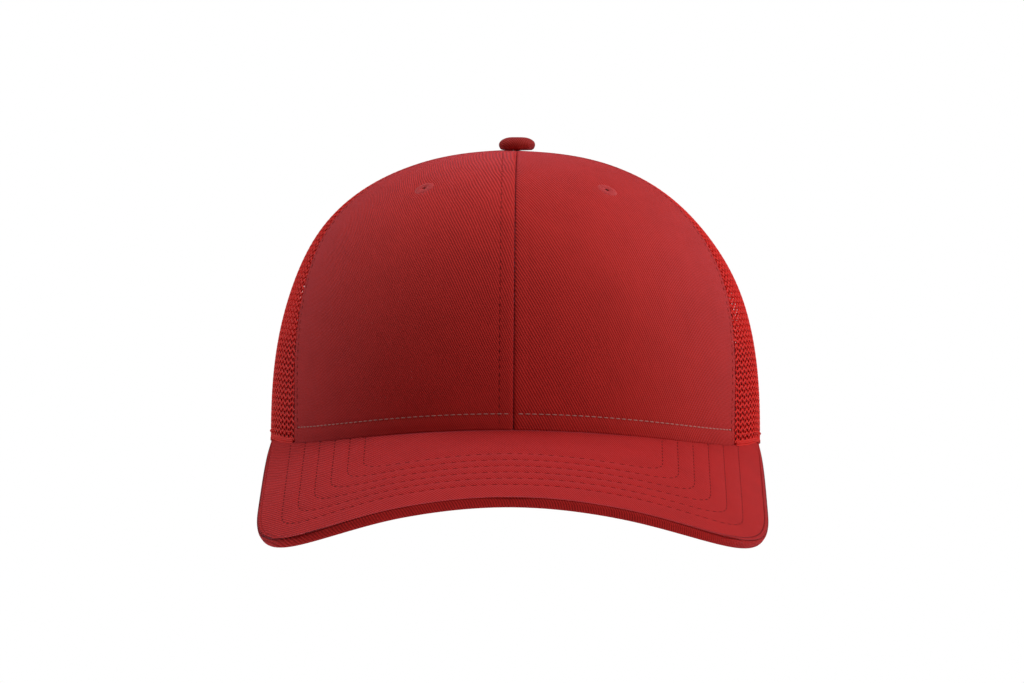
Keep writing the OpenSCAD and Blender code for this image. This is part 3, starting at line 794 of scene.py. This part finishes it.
def seam_tape(name, side, middle, first, depth, wedge, node):
    """Tape folded over a seam allowance, from a climb to the apex, and its two rows of stitches."""
    climbs = np.linspace(first, CLIMB_TOP - 0.2, 100)
    rows = []
    for climb in climbs:
        centre = float(middle(climb))
        rows.append((climb, centre, min(wedge, float(across_wall(centre, climb, TAPE_WIDTH / 2)))))
    wall_strip(name + "_cloth", side, rows, depth, 0.6, TAPE, "tape", node, shape=tape_shape)
    tubes = Tubes(6)
    for edge in (-TAPE_SEWN, TAPE_SEWN):
        used = [r for r in rows if r[0] < CLIMB_TOP - 9.0]
        climb = np.array([r[0] for r in used])
        phi = side * np.array([r[1] + edge * r[2] for r in used])
        points, normals = wall(phi, climb, depth + 0.56)
        add_stitches(tubes, points, -normals, SEAM_PITCH, 0.78, 0.2)
    place(tubes.piece(name + "_stitches", MATCHING_THREAD), "cap", "thread")


def seam_topstitch():
    """Matching rows: one beside the centre seam, where its allowance is laid over to the
    wearer's right, and one inside each front panel's side seam."""
    tubes = Tubes(6)
    climb = np.linspace(0.8, CLIMB_TOP - 10.0, 240)
    for side in (1, -1):
        centre = across_lines(side, climb, 0.0, SEAM_STITCH_INSET)
        seam = across_lines(side, climb, side_seam(climb), -SIDE_STITCH_INSET)
        for points, normals in ((seam,) if side > 0 else (centre, seam)):
            add_stitches(tubes, points, normals, SEAM_PITCH, 0.72, 0.16, sink=0.06)
    place(tubes.piece("seam_topstitch_rows", MATCHING_THREAD), "cap", "thread")


def across_lines(side, climb, middle, distance):
    """A line up the wall, at a level distance from a seam."""
    middle = np.broadcast_to(middle, climb.shape)
    phi = np.array([m + across_wall(m, c, distance) for m, c in zip(middle, climb)])
    return wall(side * phi, climb, 0.1)


def mesh_hem(word, side):
    """Net turned in over a tape along the bottom, with its row of stitches."""
    last = 180.0 - math.degrees(math.asin((ARCH_HALF_WIDTH + BINDING_WIDTH + 1) / HALF_WIDTH))
    middle, half = (HORN_ANGLE + 2 + last) / 2, (last - HORN_ANGLE - 2) / 2
    rows = [(climb, middle, half) for climb in np.linspace(0.2, HEM_WIDTH, 9)]
    wall_strip(f"mesh_hem_{word}_tape", side, rows, REAR_TAPE_DEPTH, 0.7, TAPE, "red_net",
               f"mesh_hem_{word}", columns=90)
    tubes = Tubes(6)
    phi = side * np.linspace(SEAM_FOOT + 1.0, last + 6.0, 240)
    for depth, way in ((0.2, 1.0), (REAR_TAPE_DEPTH + 0.72, -1.0)):
        points, normals = wall(phi, NET_HEM_STITCH, depth)
        add_stitches(tubes, points, normals * way, 2.3, 0.85, 0.26, sink=0.05)
    over_horn = 1.0 - smooth((np.abs(phi) - HORN_TIP + 3.0) / 6.0)
    for climb_edge, drop in ((0.15, 0.75), (0.15, 0.0), (0.75, 0.0)):
        line, normals = wall(phi, climb_edge, 0.5)
        line[:, 2] -= drop * over_horn
        tubes.add(line, normals, 0.42, 0.5)
    place(tubes.piece(f"mesh_hem_{word}_stitches", NET_YARN), "cap", "thread")


# Outline of the folded binding: a distance out of the opening and a depth below the net, from
# its outer face round the opening's edge. The inner face mirrors it, and ends a little lower.
BINDING_OUTER = [
    (9.0, -0.3), (9.1, -0.8), (8.7, -1.15), (8.1, -1.2), (7.4, -1.05), (6.6, -1.25), (4.5, -1.3),
    (2.4, -1.25), (1.6, -1.05), (0.8, -1.2), (-0.2, -1.25), (-0.9, -0.9), (-1.25, -0.2), (-1.3, 0.5)]
BINDING_INNER = [(out, 1.0 - depth) for out, depth in reversed(BINDING_OUTER[1:-1])] + [(9.0, 1.6)]


def arch_binding():
    """Twill folded over the edge of the rear opening, with two rows of stitches on each face."""
    outline = np.array(BINDING_OUTER + BINDING_INNER)
    alpha = np.linspace(0.0, 180.0, 150)
    around = run_along(outline)
    points, uvs = [], []
    length = np.radians(alpha) * (ARCH_HALF_WIDTH + ARCH_HEIGHT) / 2
    for (out, depth), v in zip(outline, around):
        phi, climb = arch_curve(alpha, out)
        points.append(wall(phi, climb, depth)[0])
        uvs.append(np.stack([length, np.full_like(length, v)], -1))
    piece = cloth_piece("arch_binding_twill", points, uvs, TWILL_BINDING, 0.45, flip=True)
    place(piece, "cap", "red_twill", "arch_binding")
    tubes = Tubes(6)
    alpha = np.linspace(1.0, 179.0, 300)
    for out in (1.6, 7.4):
        phi, climb = arch_curve(alpha, out)
        for depth, way in ((-1.08, 1.0), (2.08, -1.0)):
            points, normals = wall(phi, climb, depth)
            add_stitches(tubes, points, normals * way, SEAM_PITCH, 0.78, 0.24)
    place(tubes.piece("arch_binding_stitches", MATCHING_THREAD), "cap", "thread")


for side, word in ((1, "left"), (-1, "right")):
    buckram(f"buckram_{word}_weave", side, f"buckram_{word}")
    seam_tape(f"front_side_tape_{word}", side, side_seam, 0.3, FRONT_TAPE_DEPTH, NARROW_WEDGE,
              f"front_side_tape_{word}")
    seam_tape(f"side_back_tape_{word}", side, lambda c: BACK_SEAM, HEM_WIDTH + 1.5, REAR_TAPE_DEPTH,
              NARROW_WEDGE, f"side_back_tape_{word}")
    mesh_hem(word, side)
seam_tape("front_seam_tape", 1, lambda c: 0.0, 0.3, FRONT_TAPE_DEPTH, WIDE_WEDGE, "front_seam_tape")
BACK_TAPE_FOOT = float(climb_of_height(np.array([180.0]), ARCH_HEIGHT + BINDING_WIDTH + 1.5)[0])
seam_tape("back_seam_tape", 1, lambda c: 180.0, BACK_TAPE_FOOT, REAR_TAPE_DEPTH, WIDE_WEDGE, "back_seam_tape")
arch_binding()
seam_topstitch()


# ---- Sweatband ----

BAND_END = 180.0 - math.degrees(math.asin((ARCH_HALF_WIDTH + 1) / HALF_WIDTH))


def band_lie(s):
    """The band lies against the net between the front tapes and the straps."""
    phi = np.abs(s) * BAND_END
    return -2.2 * smooth((phi - 68.0) / 8.0) * smooth((133.0 - phi) / 8.0)


def band_shape(s, climb):
    """The band's face: soft ripples along it, a rolled lower edge and a sewn groove."""
    wander = 0.35 * np.sin(9.0 * s + 0.8) + 0.22 * np.sin(23.0 * s + climb * 0.05) + 0.12 * np.sin(57.0 * s)
    body = math.sin(math.pi * min(1.0, climb / BAND_HEIGHT))
    fold = 0.7 * max(0.0, 1.0 - climb / 3.0) ** 2
    groove = 0.4 * math.exp(-((climb - BAND_SEWN) / 0.7) ** 2)
    pucker = 0.12 * np.sin(2 * math.pi * s * 150.0) * math.exp(-((climb - BAND_SEWN) / 2.2) ** 2)
    bulge = np.maximum(0.0, (0.75 + wander * 0.6) * body) - fold * 0.3 - groove * 0.5 + pucker
    # The lower edge is turned out and sewn into the hem
    tuck = 4.2 * max(0.0, 1.0 - climb) ** 0.5
    return bulge + band_lie(s) * (1.0 - 0.7 * min(1.0, tuck)) - tuck


def sweatband():
    """The band inside the hem, from strap to strap, and its row of stitches."""
    climbs = np.concatenate([[0.02, 0.06, 0.15, 0.3, 0.5, 0.75], np.linspace(1.0, 4.0, 6),
                             np.linspace(5.0, 26.0, 16), np.linspace(26.8, BAND_HEIGHT, 10)])
    rows = [(climb, 0.0, BAND_END) for climb in climbs]
    wall_strip("sweatband_cloth", 1, rows, BAND_DEPTH, 0.8, TWILL_BAND, "band_cloth", "sweatband",
               columns=900, shape=band_shape)
    tubes = Tubes(6)
    s = np.linspace(-0.995, 0.995, 900)
    phi = s * BAND_END
    points, normals = wall(phi, BAND_SEWN, BAND_DEPTH + 0.78 + band_shape(s, BAND_SEWN))
    add_stitches(tubes, points, -normals, 3.0, 0.8, 0.25)
    place(tubes.piece("sweatband_stitches", MATCHING_THREAD), "cap", "thread")


def sweatband_foam():
    """Thin foam between the band and the front panels."""
    rows = [(climb, 0.0, SEAM_FOOT - 1.0) for climb in np.linspace(3.0, BAND_HEIGHT - 2, 12)]
    wall_strip("sweatband_foam_sheet", 1, rows, BAND_DEPTH - 1.7, 1.3, FOAM, "foam", "sweatband_foam",
               columns=120)


def sweatband_piping():
    """A cord covered in bias cloth that closes the band's top edge."""
    tubes = Tubes(14)
    phi = np.linspace(-BAND_END, BAND_END, 400)
    points, normals = wall(phi, BAND_HEIGHT + 1.45,
                           BAND_DEPTH - 0.4 + band_lie(phi / BAND_END) * 0.9)
    tubes.add(points, normals, 1.05, 1.25)
    place(tubes.piece("sweatband_piping_cloth", PIPING), "cap", "band_cloth", "sweatband_piping")


sweatband()
sweatband_foam()
sweatband_piping()


# ---- Eyelets ----

def eyelet(word, side):
    """Threads laid side by side over a padded ring."""
    centre, normal = eyelet_centre(side, 0.25)
    level = unit(np.cross(np.array([0.0, 0.0, 1.0]), normal))
    upward = np.cross(normal, level)
    tubes = Tubes(8)
    turn = np.linspace(0, 2 * math.pi, 41)
    ring = level * np.cos(turn)[:, None] + upward * np.sin(turn)[:, None]
    bed = 0.5 * (EYELET_RADIUS + EYELET_HOLE)
    tubes.add(centre + ring * bed, np.tile(normal, (41, 1)), (EYELET_RADIUS - EYELET_HOLE) / 2 - 0.1, 0.4)
    s = np.linspace(0, 1, 9)
    for k in range(EYELET_THREADS):
        a = 2 * math.pi * (k + 0.25 * math.sin(k * 2.3)) / EYELET_THREADS
        out = level * math.cos(a) + upward * math.sin(a)
        reach = EYELET_RADIUS + 0.12 * math.sin(k * 5.1)
        radius = EYELET_HOLE - 0.35 + (reach - EYELET_HOLE + 0.25) * s
        lift = 0.85 * np.sin(math.pi * (0.08 + 0.84 * s)) ** 0.7 - 0.45
        path = centre + out * radius[:, None] + normal * lift[:, None]
        tubes.add(path, np.tile(normal, (9, 1)), 0.07 * radius + 0.05, 0.13)
    place(tubes.piece(f"eyelet_{word}_threads", EYELET_THREAD), "cap", "thread", f"eyelet_{word}")


eyelet("left", 1)
eyelet("right", -1)


# ---- Button ----

def button_cover():
    """Twill drawn over the button's dome and gathered beneath it."""
    turn = np.linspace(0, 2 * math.pi, 97)
    lean = np.radians(np.linspace(90, 0, 15))
    radii = list((BUTTON_RADIUS + 0.1) * np.cos(lean) ** 0.8)
    heights = list(1.8 + (BUTTON_HEIGHT - 1.75) * np.sin(lean))
    radii += [6.27, 6.15, 5.95, 5.65, 5.2, 4.4]
    heights += [1.45, 1.05, 0.65, 0.32, 0.1, 0.04]
    length = np.concatenate([[0], np.cumsum(np.hypot(np.diff(radii), np.diff(heights)))])
    points, uvs = [], []
    for radius, height, run in zip(radii, heights, length):
        under = np.clip((run - 6.4) / 3.0, 0, 1)
        gather = 1.0 - 0.05 * under * (0.5 + 0.5 * np.cos(11 * turn + 0.6 * np.sin(3 * turn)))
        dent = -0.18 * math.exp(-(radius / 2.2) ** 2)
        ring = np.stack([radius * gather * np.cos(turn), radius * gather * np.sin(turn),
                         np.full_like(turn, height + dent)], -1)
        points.append(ring + np.array([0.0, APEX_Y, CROWN_HEIGHT]))
        uvs.append(np.stack([run * np.cos(turn), run * np.sin(turn)], -1))
    piece = cloth_piece("button_cover_twill", points, uvs, TWILL_BUTTON, 0.5, flip=True)
    place(piece, "cap", "red_twill", "button_cover")


button_cover()
for metal in ("button_shell", "button_rivet", "button_washer"):
    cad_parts[metal].material_slots[0].material = TIN


# ---- Snap strap ----

def strap_path(x, layer):
    """Distance behind the origin of a strap's middle, and the outward direction there."""
    a, b = HALF_WIDTH - STRAP_DEPTH, HALF_LENGTH - STRAP_DEPTH

    def middle(at):
        k = smooth((np.abs(at) - STRAP_FLAT_X) / STRAP_BLEND)
        flat = STRAP_FLAT_Y + layer * STRAP_LAYER
        return flat * (1 - k) + b * np.sqrt(1 - (at / a) ** 2) * k

    rise = (middle(x + 0.2) - middle(x - 0.2)) / 0.4
    return middle(x), unit(np.stack([-rise, np.ones_like(rise), np.zeros_like(rise)], -1))


def on_strap(points, layer):
    """Bends flat points (along, up, out) onto the strap's path."""
    y, normal = strap_path(points[:, 0], layer)
    flat = np.stack([points[:, 0], y, points[:, 1]], -1)
    return flat + normal * points[:, 2:3]


def add_loop(curve, corners):
    spline = curve.splines.new("POLY")
    spline.points.add(len(corners) - 1)
    spline.points.foreach_set("co", np.array([(x, z, 0.0, 1.0) for x, z in corners], float).ravel())
    spline.use_cyclic_u = True


def strap_outline(way):
    """Front view of a strap: square where it is sewn, round corners at its tip."""
    low, high = STRAP_FOOT + BEVEL, STRAP_FOOT + STRAP_WIDTH - BEVEL
    sewn, tip, corner = -STRAP_SEWN_X + BEVEL, STRAP_REACH - BEVEL, 5.0
    corners = [(sewn, low), (sewn, high)]
    for middle, start in ((high - corner, 90), (low + corner, 0)):
        for a in np.radians(np.linspace(start, start - 90, 10)):
            corners.append((tip - corner + corner * math.cos(a), middle + corner * math.sin(a)))
    return [(way * x, z) for x, z in corners]


def flat_strap(name, way, holes):
    """A strap laid out flat, with round edges and its holes, as points and faces."""
    curve = bpy.data.curves.new(name + "_outline", "CURVE")
    curve.dimensions = "2D"
    curve.fill_mode = "BOTH"
    curve.extrude = STRAP_THICK / 2 - BEVEL
    curve.bevel_depth = BEVEL
    curve.bevel_resolution = 2
    add_loop(curve, strap_outline(way))
    for x in holes:
        ring = np.radians(np.arange(0, 360, 10))
        radius = SNAP_HOLE_RADIUS + BEVEL
        add_loop(curve, [(x + radius * math.cos(a), STRAP_MIDDLE + radius * math.sin(a)) for a in ring])
    draft = new_object(name + "_draft", curve)
    bpy.context.view_layer.update()
    mesh = bpy.data.meshes.new_from_object(draft.evaluated_get(bpy.context.evaluated_depsgraph_get()))
    bpy.data.objects.remove(draft)
    shape = bmesh.new()
    shape.from_mesh(mesh)
    bmesh.ops.remove_doubles(shape, verts=shape.verts, dist=1e-4)
    for x in np.arange(-60.0, 61.0, 1.6):
        geometry = shape.verts[:] + shape.edges[:] + shape.faces[:]
        bmesh.ops.bisect_plane(shape, geom=geometry, plane_co=(x, 0, 0), plane_no=(1, 0, 0))
    bpy.data.meshes.remove(mesh)
    return shape


PEG_PROFILE = [(2.0, 0.0), (1.9, 0.5), (1.85, 1.1), (2.0, 1.5), (2.05, 1.8), (1.9, 2.15), (1.55, 2.45),
               (1.0, 2.62), (0.4, 2.69), (0.02, 2.7)]


def add_peg(shape, x):
    """A peg with a swollen head, on a flat strap's outer face."""
    rings = []
    for radius, height in PEG_PROFILE:
        turn = np.radians(np.arange(0, 360, 15))
        rings.append([shape.verts.new((x + radius * math.cos(a), STRAP_MIDDLE + radius * math.sin(a), height))
                      for a in turn])
    for low, high in zip(rings, rings[1:]):
        for k in range(len(low)):
            shape.faces.new((low[k], low[(k + 1) % 24], high[(k + 1) % 24], high[k]))
    shape.faces.new(rings[-1])


def strap(name, way, layer, nodes):
    """One moulded strap: way is +1 when it is sewn at -X and reaches to +X. A strap with
    pegs has layer -1 and lies under the one with holes."""
    places = [way * ((SNAP_COUNT - 1) * SNAP_PITCH / 2 - k * SNAP_PITCH) for k in range(SNAP_COUNT + 1)]
    places.append(way * SEWN_SNAP_X)
    shape = flat_strap(name, way, places if layer > 0 else [])
    if layer < 0:
        for x in places:
            add_peg(shape, x)
    mesh = bpy.data.meshes.new(name)
    bmesh.ops.recalc_face_normals(shape, faces=shape.faces)
    shape.to_mesh(mesh)
    shape.free()
    points = np.empty(len(mesh.vertices) * 3)
    mesh.vertices.foreach_get("co", points)
    bent = on_strap(points.reshape(-1, 3), layer) * MM
    mesh.vertices.foreach_set("co", bent.ravel())
    mesh.update()
    mesh.shade_smooth()
    mesh.set_sharp_from_angle(angle=math.radians(50))
    mesh.materials.append(STRAP_PLASTIC)
    piece = new_object(name, mesh)
    y = float(strap_path(np.array([-way * STRAP_BEND_X]), layer)[0][0]) * MM
    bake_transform(piece)
    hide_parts(*nodes)


def strap_stitches():
    """Box stitches through the straps' sewn ends."""
    tubes = Tubes(6)
    for way, layer in ((-1, 1), (1, -1)):
        for x0, z0, x1, z1 in ((50, 5, 56, 5), (56, 5, 56, 18), (56, 18, 50, 18), (50, 18, 50, 5)):
            t = np.linspace(0, 1, 30)
            flat = np.stack([way * (x0 + (x1 - x0) * t), z0 + (z1 - z0) * t, np.full(30, 0.0)], -1)
            points = on_strap(flat, layer)
            normals = strap_path(flat[:, 0], layer)[1]
            for turn in (1, -1):
                add_stitches(tubes, points + normals * turn * 0.62, normals * turn, 2.4, 0.8, 0.24)
    place(tubes.piece("strap_end_stitches", MATCHING_THREAD), "cap", "thread")


strap("hole_strap_plastic", 1, 1, ("hole_strap", "hole_strap_end"))
strap("peg_strap_plastic", -1, -1, ("peg_strap", "peg_strap_end"))
strap_stitches()


# ---- Visor ----

def resample(points, count):
    length = run_along(points)
    at = np.linspace(0, length[-1], count)
    return np.stack([np.interp(at, length, points[:, k]) for k in (0, 1)], -1)


def crown_edge(angle, inset=CROWN_INSET):
    """Plan points of the visor's inner edge, just under the crown's wall."""
    r = np.radians(angle)
    return np.stack([(HALF_WIDTH - inset) * np.sin(r), -(HALF_LENGTH - inset) * np.cos(r)], -1)


def visor_curve(wide, reach, depth_of_corner, bow=0.0):
    """A plan curve that runs from the crown forward along one side, round the front and back:
    half as wide as given, and reaching a distance along the slope at the front."""
    k = 2.0 / VISOR_SQUARENESS
    front = -HALF_LENGTH - reach * math.cos(VISOR_SLOPE)
    turn = np.radians(np.linspace(0, 90, 120))
    x = wide * power(np.sin(turn), k)
    y = front + depth_of_corner - depth_of_corner * power(np.cos(turn), k) + bow * (x / wide) ** 2
    if wide > VISOR_HALF_WIDTH - 4:
        end, tuck = crown_edge(HORN_TIP, -0.4), 4
    else:
        end, tuck = crown_edge(math.degrees(math.asin(min(1.0, wide / (HALF_WIDTH - CROWN_INSET))))), 2
    w = np.linspace(0, 1, 40)[1:]
    side = np.stack([wide + (end[0] - wide) * w ** tuck, y[-1] + (end[1] - y[-1]) * w], -1)
    half = np.concatenate([np.stack([x, y], -1), side])
    half = resample(half, VISOR_COLUMNS // 2 + 1)
    return np.concatenate([half[:0:-1] * [-1, 1], half])


CORNER = VISOR_WIDE_Y + HALF_LENGTH + VISOR_LENGTH * math.cos(VISOR_SLOPE)


def visor_family(g):
    """Half width, reach, corner depth and bow of the nested curves: 0 at the rim, then one unit per
    stitched row from the outermost in."""
    first = (OUTER_ROW[0], OUTER_ROW[1], ROW_CORNER * OUTER_ROW[0], OUTER_ROW[2])
    last = (INNER_ROW[0], INNER_ROW[1], ROW_CORNER * INNER_ROW[0], INNER_ROW[2])
    rim = (VISOR_HALF_WIDTH, VISOR_LENGTH, CORNER, 0.0)
    if g <= 1:
        return [a + (b - a) * g for a, b in zip(rim, first)]
    return [a + (b - a) * (g - 1) / (VISOR_ROWS - 1) for a, b in zip(first, last)]


def visor_line(g):
    """Plan points of nested curve g; past the last row they close in on the crown's edge."""
    if g <= VISOR_ROWS:
        return visor_curve(*visor_family(g))
    row = visor_line(VISOR_ROWS)
    angle = math.degrees(math.asin(INNER_ROW[0] / (HALF_WIDTH - CROWN_INSET)))
    root = crown_edge(np.linspace(-angle, angle, len(row)))
    return row + (root - row) * (g - VISOR_ROWS)


def visor_uv(points):
    u = VISOR_RADIUS * np.arcsin(np.clip(points[..., 0] / VISOR_RADIUS, -1, 1))
    return np.stack([u, (points[..., 1] + HALF_LENGTH) / math.cos(VISOR_SLOPE)], -1)


def rim_profile():
    """Inset and depth round the visor's edge, from the top face to the under face."""
    half = VISOR_THICK / 2
    for a in np.radians(np.linspace(0, 180, 13)):
        c, s = math.cos(a), math.sin(a)
        yield 1.5 * (1 - abs(s) ** 0.7), half * (1 - math.copysign(abs(c) ** 0.7, c)), a / math.pi


ROW_GROOVE = [(-0.2, 0.0), (-0.1, 0.05), (-0.05, 0.1), (0.0, 0.13), (0.05, 0.1), (0.1, 0.05), (0.2, 0.0)]


def visor_stations():
    """Nested curves and the cloth's sink on each: grooves on the stitched rows, puffed between."""
    stations = [(g, 0.0) for g in (0.05, 0.12, 0.25, 0.4, 0.55, 0.7)]
    for k in range(1, VISOR_ROWS + 1):
        stations += [(k + offset, sink) for offset, sink in ROW_GROOVE]
        if k < VISOR_ROWS:
            stations += [(k + 0.35, -0.04), (k + 0.5, -0.06), (k + 0.65, -0.04)]
    return stations + [(VISOR_ROWS + f, 0.0) for f in (0.3, 0.45, 0.6, 0.75, 0.9, 1.0)]


def inset_rim(inset):
    wide, reach, corner, bow = visor_family(0)
    return visor_curve(wide - inset, reach - inset, corner - inset, bow)


def visor_sheet(lines):
    """Points and cloth coordinates of plan lines, each given with its depth below the face."""
    points = [visor_point(*plan.T, depth)[0] for plan, depth in lines]
    return points, [visor_uv(plan) for plan, depth in lines]


def visor_cover():
    """The top cover, wrapped round the edge to the underside."""
    points, uvs = visor_sheet([(visor_line(g), sink) for g, sink in reversed(visor_stations())])
    rim_uv = visor_uv(inset_rim(1.5))
    for inset, depth, turn in rim_profile():
        points.append(visor_point(*inset_rim(inset).T, depth)[0])
        uvs.append(rim_uv + np.array([0.0, -6.0]) * turn)
    piece = cloth_piece("visor_cover_twill", points, uvs, TWILL_VISOR_SHADED, 0.5, flip=True)
    return place(piece, "cap", "red_twill", "visor_top_cover")


def visor_under():
    """The under cover, stitched through with the same rows."""
    points, uvs = visor_sheet([(visor_line(max(g, 0.16)), VISOR_THICK - 0.1 - sink)
                               for g, sink in visor_stations()])
    piece = cloth_piece("visor_under_twill", points, uvs, TWILL_UNDER, 0.4, flip=True)
    return place(piece, "cap", "red_twill", "visor_under_cover")


def visor_board():
    """The stiff board between the visor's covers."""
    stations = [0.3, 0.6, 1, 2, 3, 4, 5, 6] + [VISOR_ROWS + f for f in (0.25, 0.5, 0.75, 0.95)]
    lines = [(visor_line(g), 1.05) for g in stations[::-1]]
    lines += [(visor_line(g), VISOR_THICK - 1.0) for g in stations]
    points, uvs = visor_sheet(lines + lines[:1])
    quads = grid_quads(*np.shape(points)[:2])[:, ::-1]
    piece = mesh_piece("visor_board_plastic", points, quads, uvs, BOARD_PLASTIC)
    shape = bmesh.new()
    shape.from_mesh(piece.data)
    bmesh.ops.remove_doubles(shape, verts=shape.verts, dist=1e-6)
    bmesh.ops.holes_fill(shape, edges=shape.edges, sides=0)
    shape.to_mesh(piece.data)
    shape.free()
    place(piece, "cap", "board_plastic", "visor_board")


def visor_stitches():
    """The rows of stitches through the visor, on both faces."""
    tubes = Tubes(6)
    for k in range(1, VISOR_ROWS + 1):
        plan = visor_line(k)
        for depth, way in ((0.22, 1.0), (VISOR_THICK - 0.32, -1.0)):
            points, normals = visor_point(*plan.T, depth)
            add_stitches(tubes, points, normals * way, 3.4, 0.78, 0.21)
    return place(tubes.piece("visor_stitch_rows", VISOR_THREAD), "cap", "thread")


visor_cover()
visor_under()
visor_board()
visor_stitches()

# ---- Stitching on the crown ----

def hem_stitches():
    """The row of pale stitches above the front panels' hem."""
    tubes = Tubes(6)
    for side in (1, -1):
        phi = side * np.linspace(0.9, SEAM_FOOT - 0.9, 160)
        points, normals = wall(phi, HEM_STITCH_HEIGHT, 0.12)
        add_stitches(tubes, points, normals, HEM_PITCH, 0.72, 0.2, sink=0.02)
    return place(tubes.piece("front_hem_stitches", PALE_THREAD), "cap", "thread")


hem_stitches()

# ---- Studio ----

def turn_to(thing, spot, target, roll=0.0):
    """Turns a lamp or a camera at a spot so that it looks at a target."""
    direction = np.array(target) - np.array(spot)
    yaw = math.atan2(direction[0], direction[1])
    pitch = math.atan2(direction[2], math.hypot(direction[0], direction[1]))
    thing.rotation_euler = (math.pi / 2 + pitch, roll, -yaw)


def scene_light(name, spot, size, power, colour=(1.0, 1.0, 1.0)):
    """A soft lamp that looks at the middle of the cap."""
    light = bpy.data.lights.new(name, "AREA")
    light.shape = "RECTANGLE"
    light.size, light.size_y = size
    light.energy = power
    light.color = colour
    lamp = new_object(name, light)
    lamp.location = spot
    turn_to(lamp, spot, (0.0, 0.0, 0.05))


def studio():
    """A white backdrop that lights the cap only a little, and four soft lamps."""
    world = bpy.data.worlds.new("studio_white")
    bpy.context.scene.world = world
    world.use_nodes = True
    tree = world.node_tree
    out = tree.nodes["World Output"]
    fill = tree.nodes["Background"]
    fill.inputs[0].default_value = rgb(1.0, 1.0, 1.0)
    fill.inputs[1].default_value = 0.13
    plain = tree.nodes.new("ShaderNodeBackground")
    plain.inputs[0].default_value = rgb(1.0, 1.0, 1.0)
    plain.inputs[1].default_value = 1.0
    path = tree.nodes.new("ShaderNodeLightPath")
    mix = tree.nodes.new("ShaderNodeMixShader")
    tree.links.new(path.outputs["Is Camera Ray"], mix.inputs[0])
    tree.links.new(fill.outputs[0], mix.inputs[1])
    tree.links.new(plain.outputs[0], mix.inputs[2])
    tree.links.new(mix.outputs[0], out.inputs[0])
    scene_light("key_light", (1.1, -0.8, 1.0), (0.8, 0.8), 9.5, (1.0, 0.98, 0.96))
    scene_light("top_light", (0.0, 0.1, 1.5), (1.0, 1.0), 9.0)
    scene_light("rim_left", (-1.1, 0.5, 0.5), (0.6, 1.0), 6.0)
    scene_light("rim_right", (1.1, 0.5, 0.5), (0.6, 1.0), 6.0)


def floor():
    bpy.ops.mesh.primitive_circle_add(vertices=96, radius=1.1, fill_type="NGON", location=(0, 0, -0.3))
    disc = bpy.context.object
    disc.name = "studio_floor"
    disc.data.materials.append(pale_floor("floor_paint"))


def camera():
    """Level with the visor, far away with a long lens, as a product photograph is taken."""
    lens = bpy.data.cameras.new("camera")
    lens.lens = 255.0
    lens.clip_end = 20.0
    eye = new_object("camera", lens)
    distance, height, turn = 2.5, math.radians(2.0), math.radians(0.43)
    eye.location = (distance * math.sin(turn) * math.cos(height),
                    -distance * math.cos(turn) * math.cos(height), 0.05 + distance * math.sin(height))
    eye.location[0] -= 0.0011
    turn_to(eye, eye.location, (-0.00194, 0.0, 0.0351), math.radians(-0.32))
    bpy.context.scene.camera = eye


studio()
floor()
camera()
bpy.context.scene.view_settings.view_transform = "Standard"
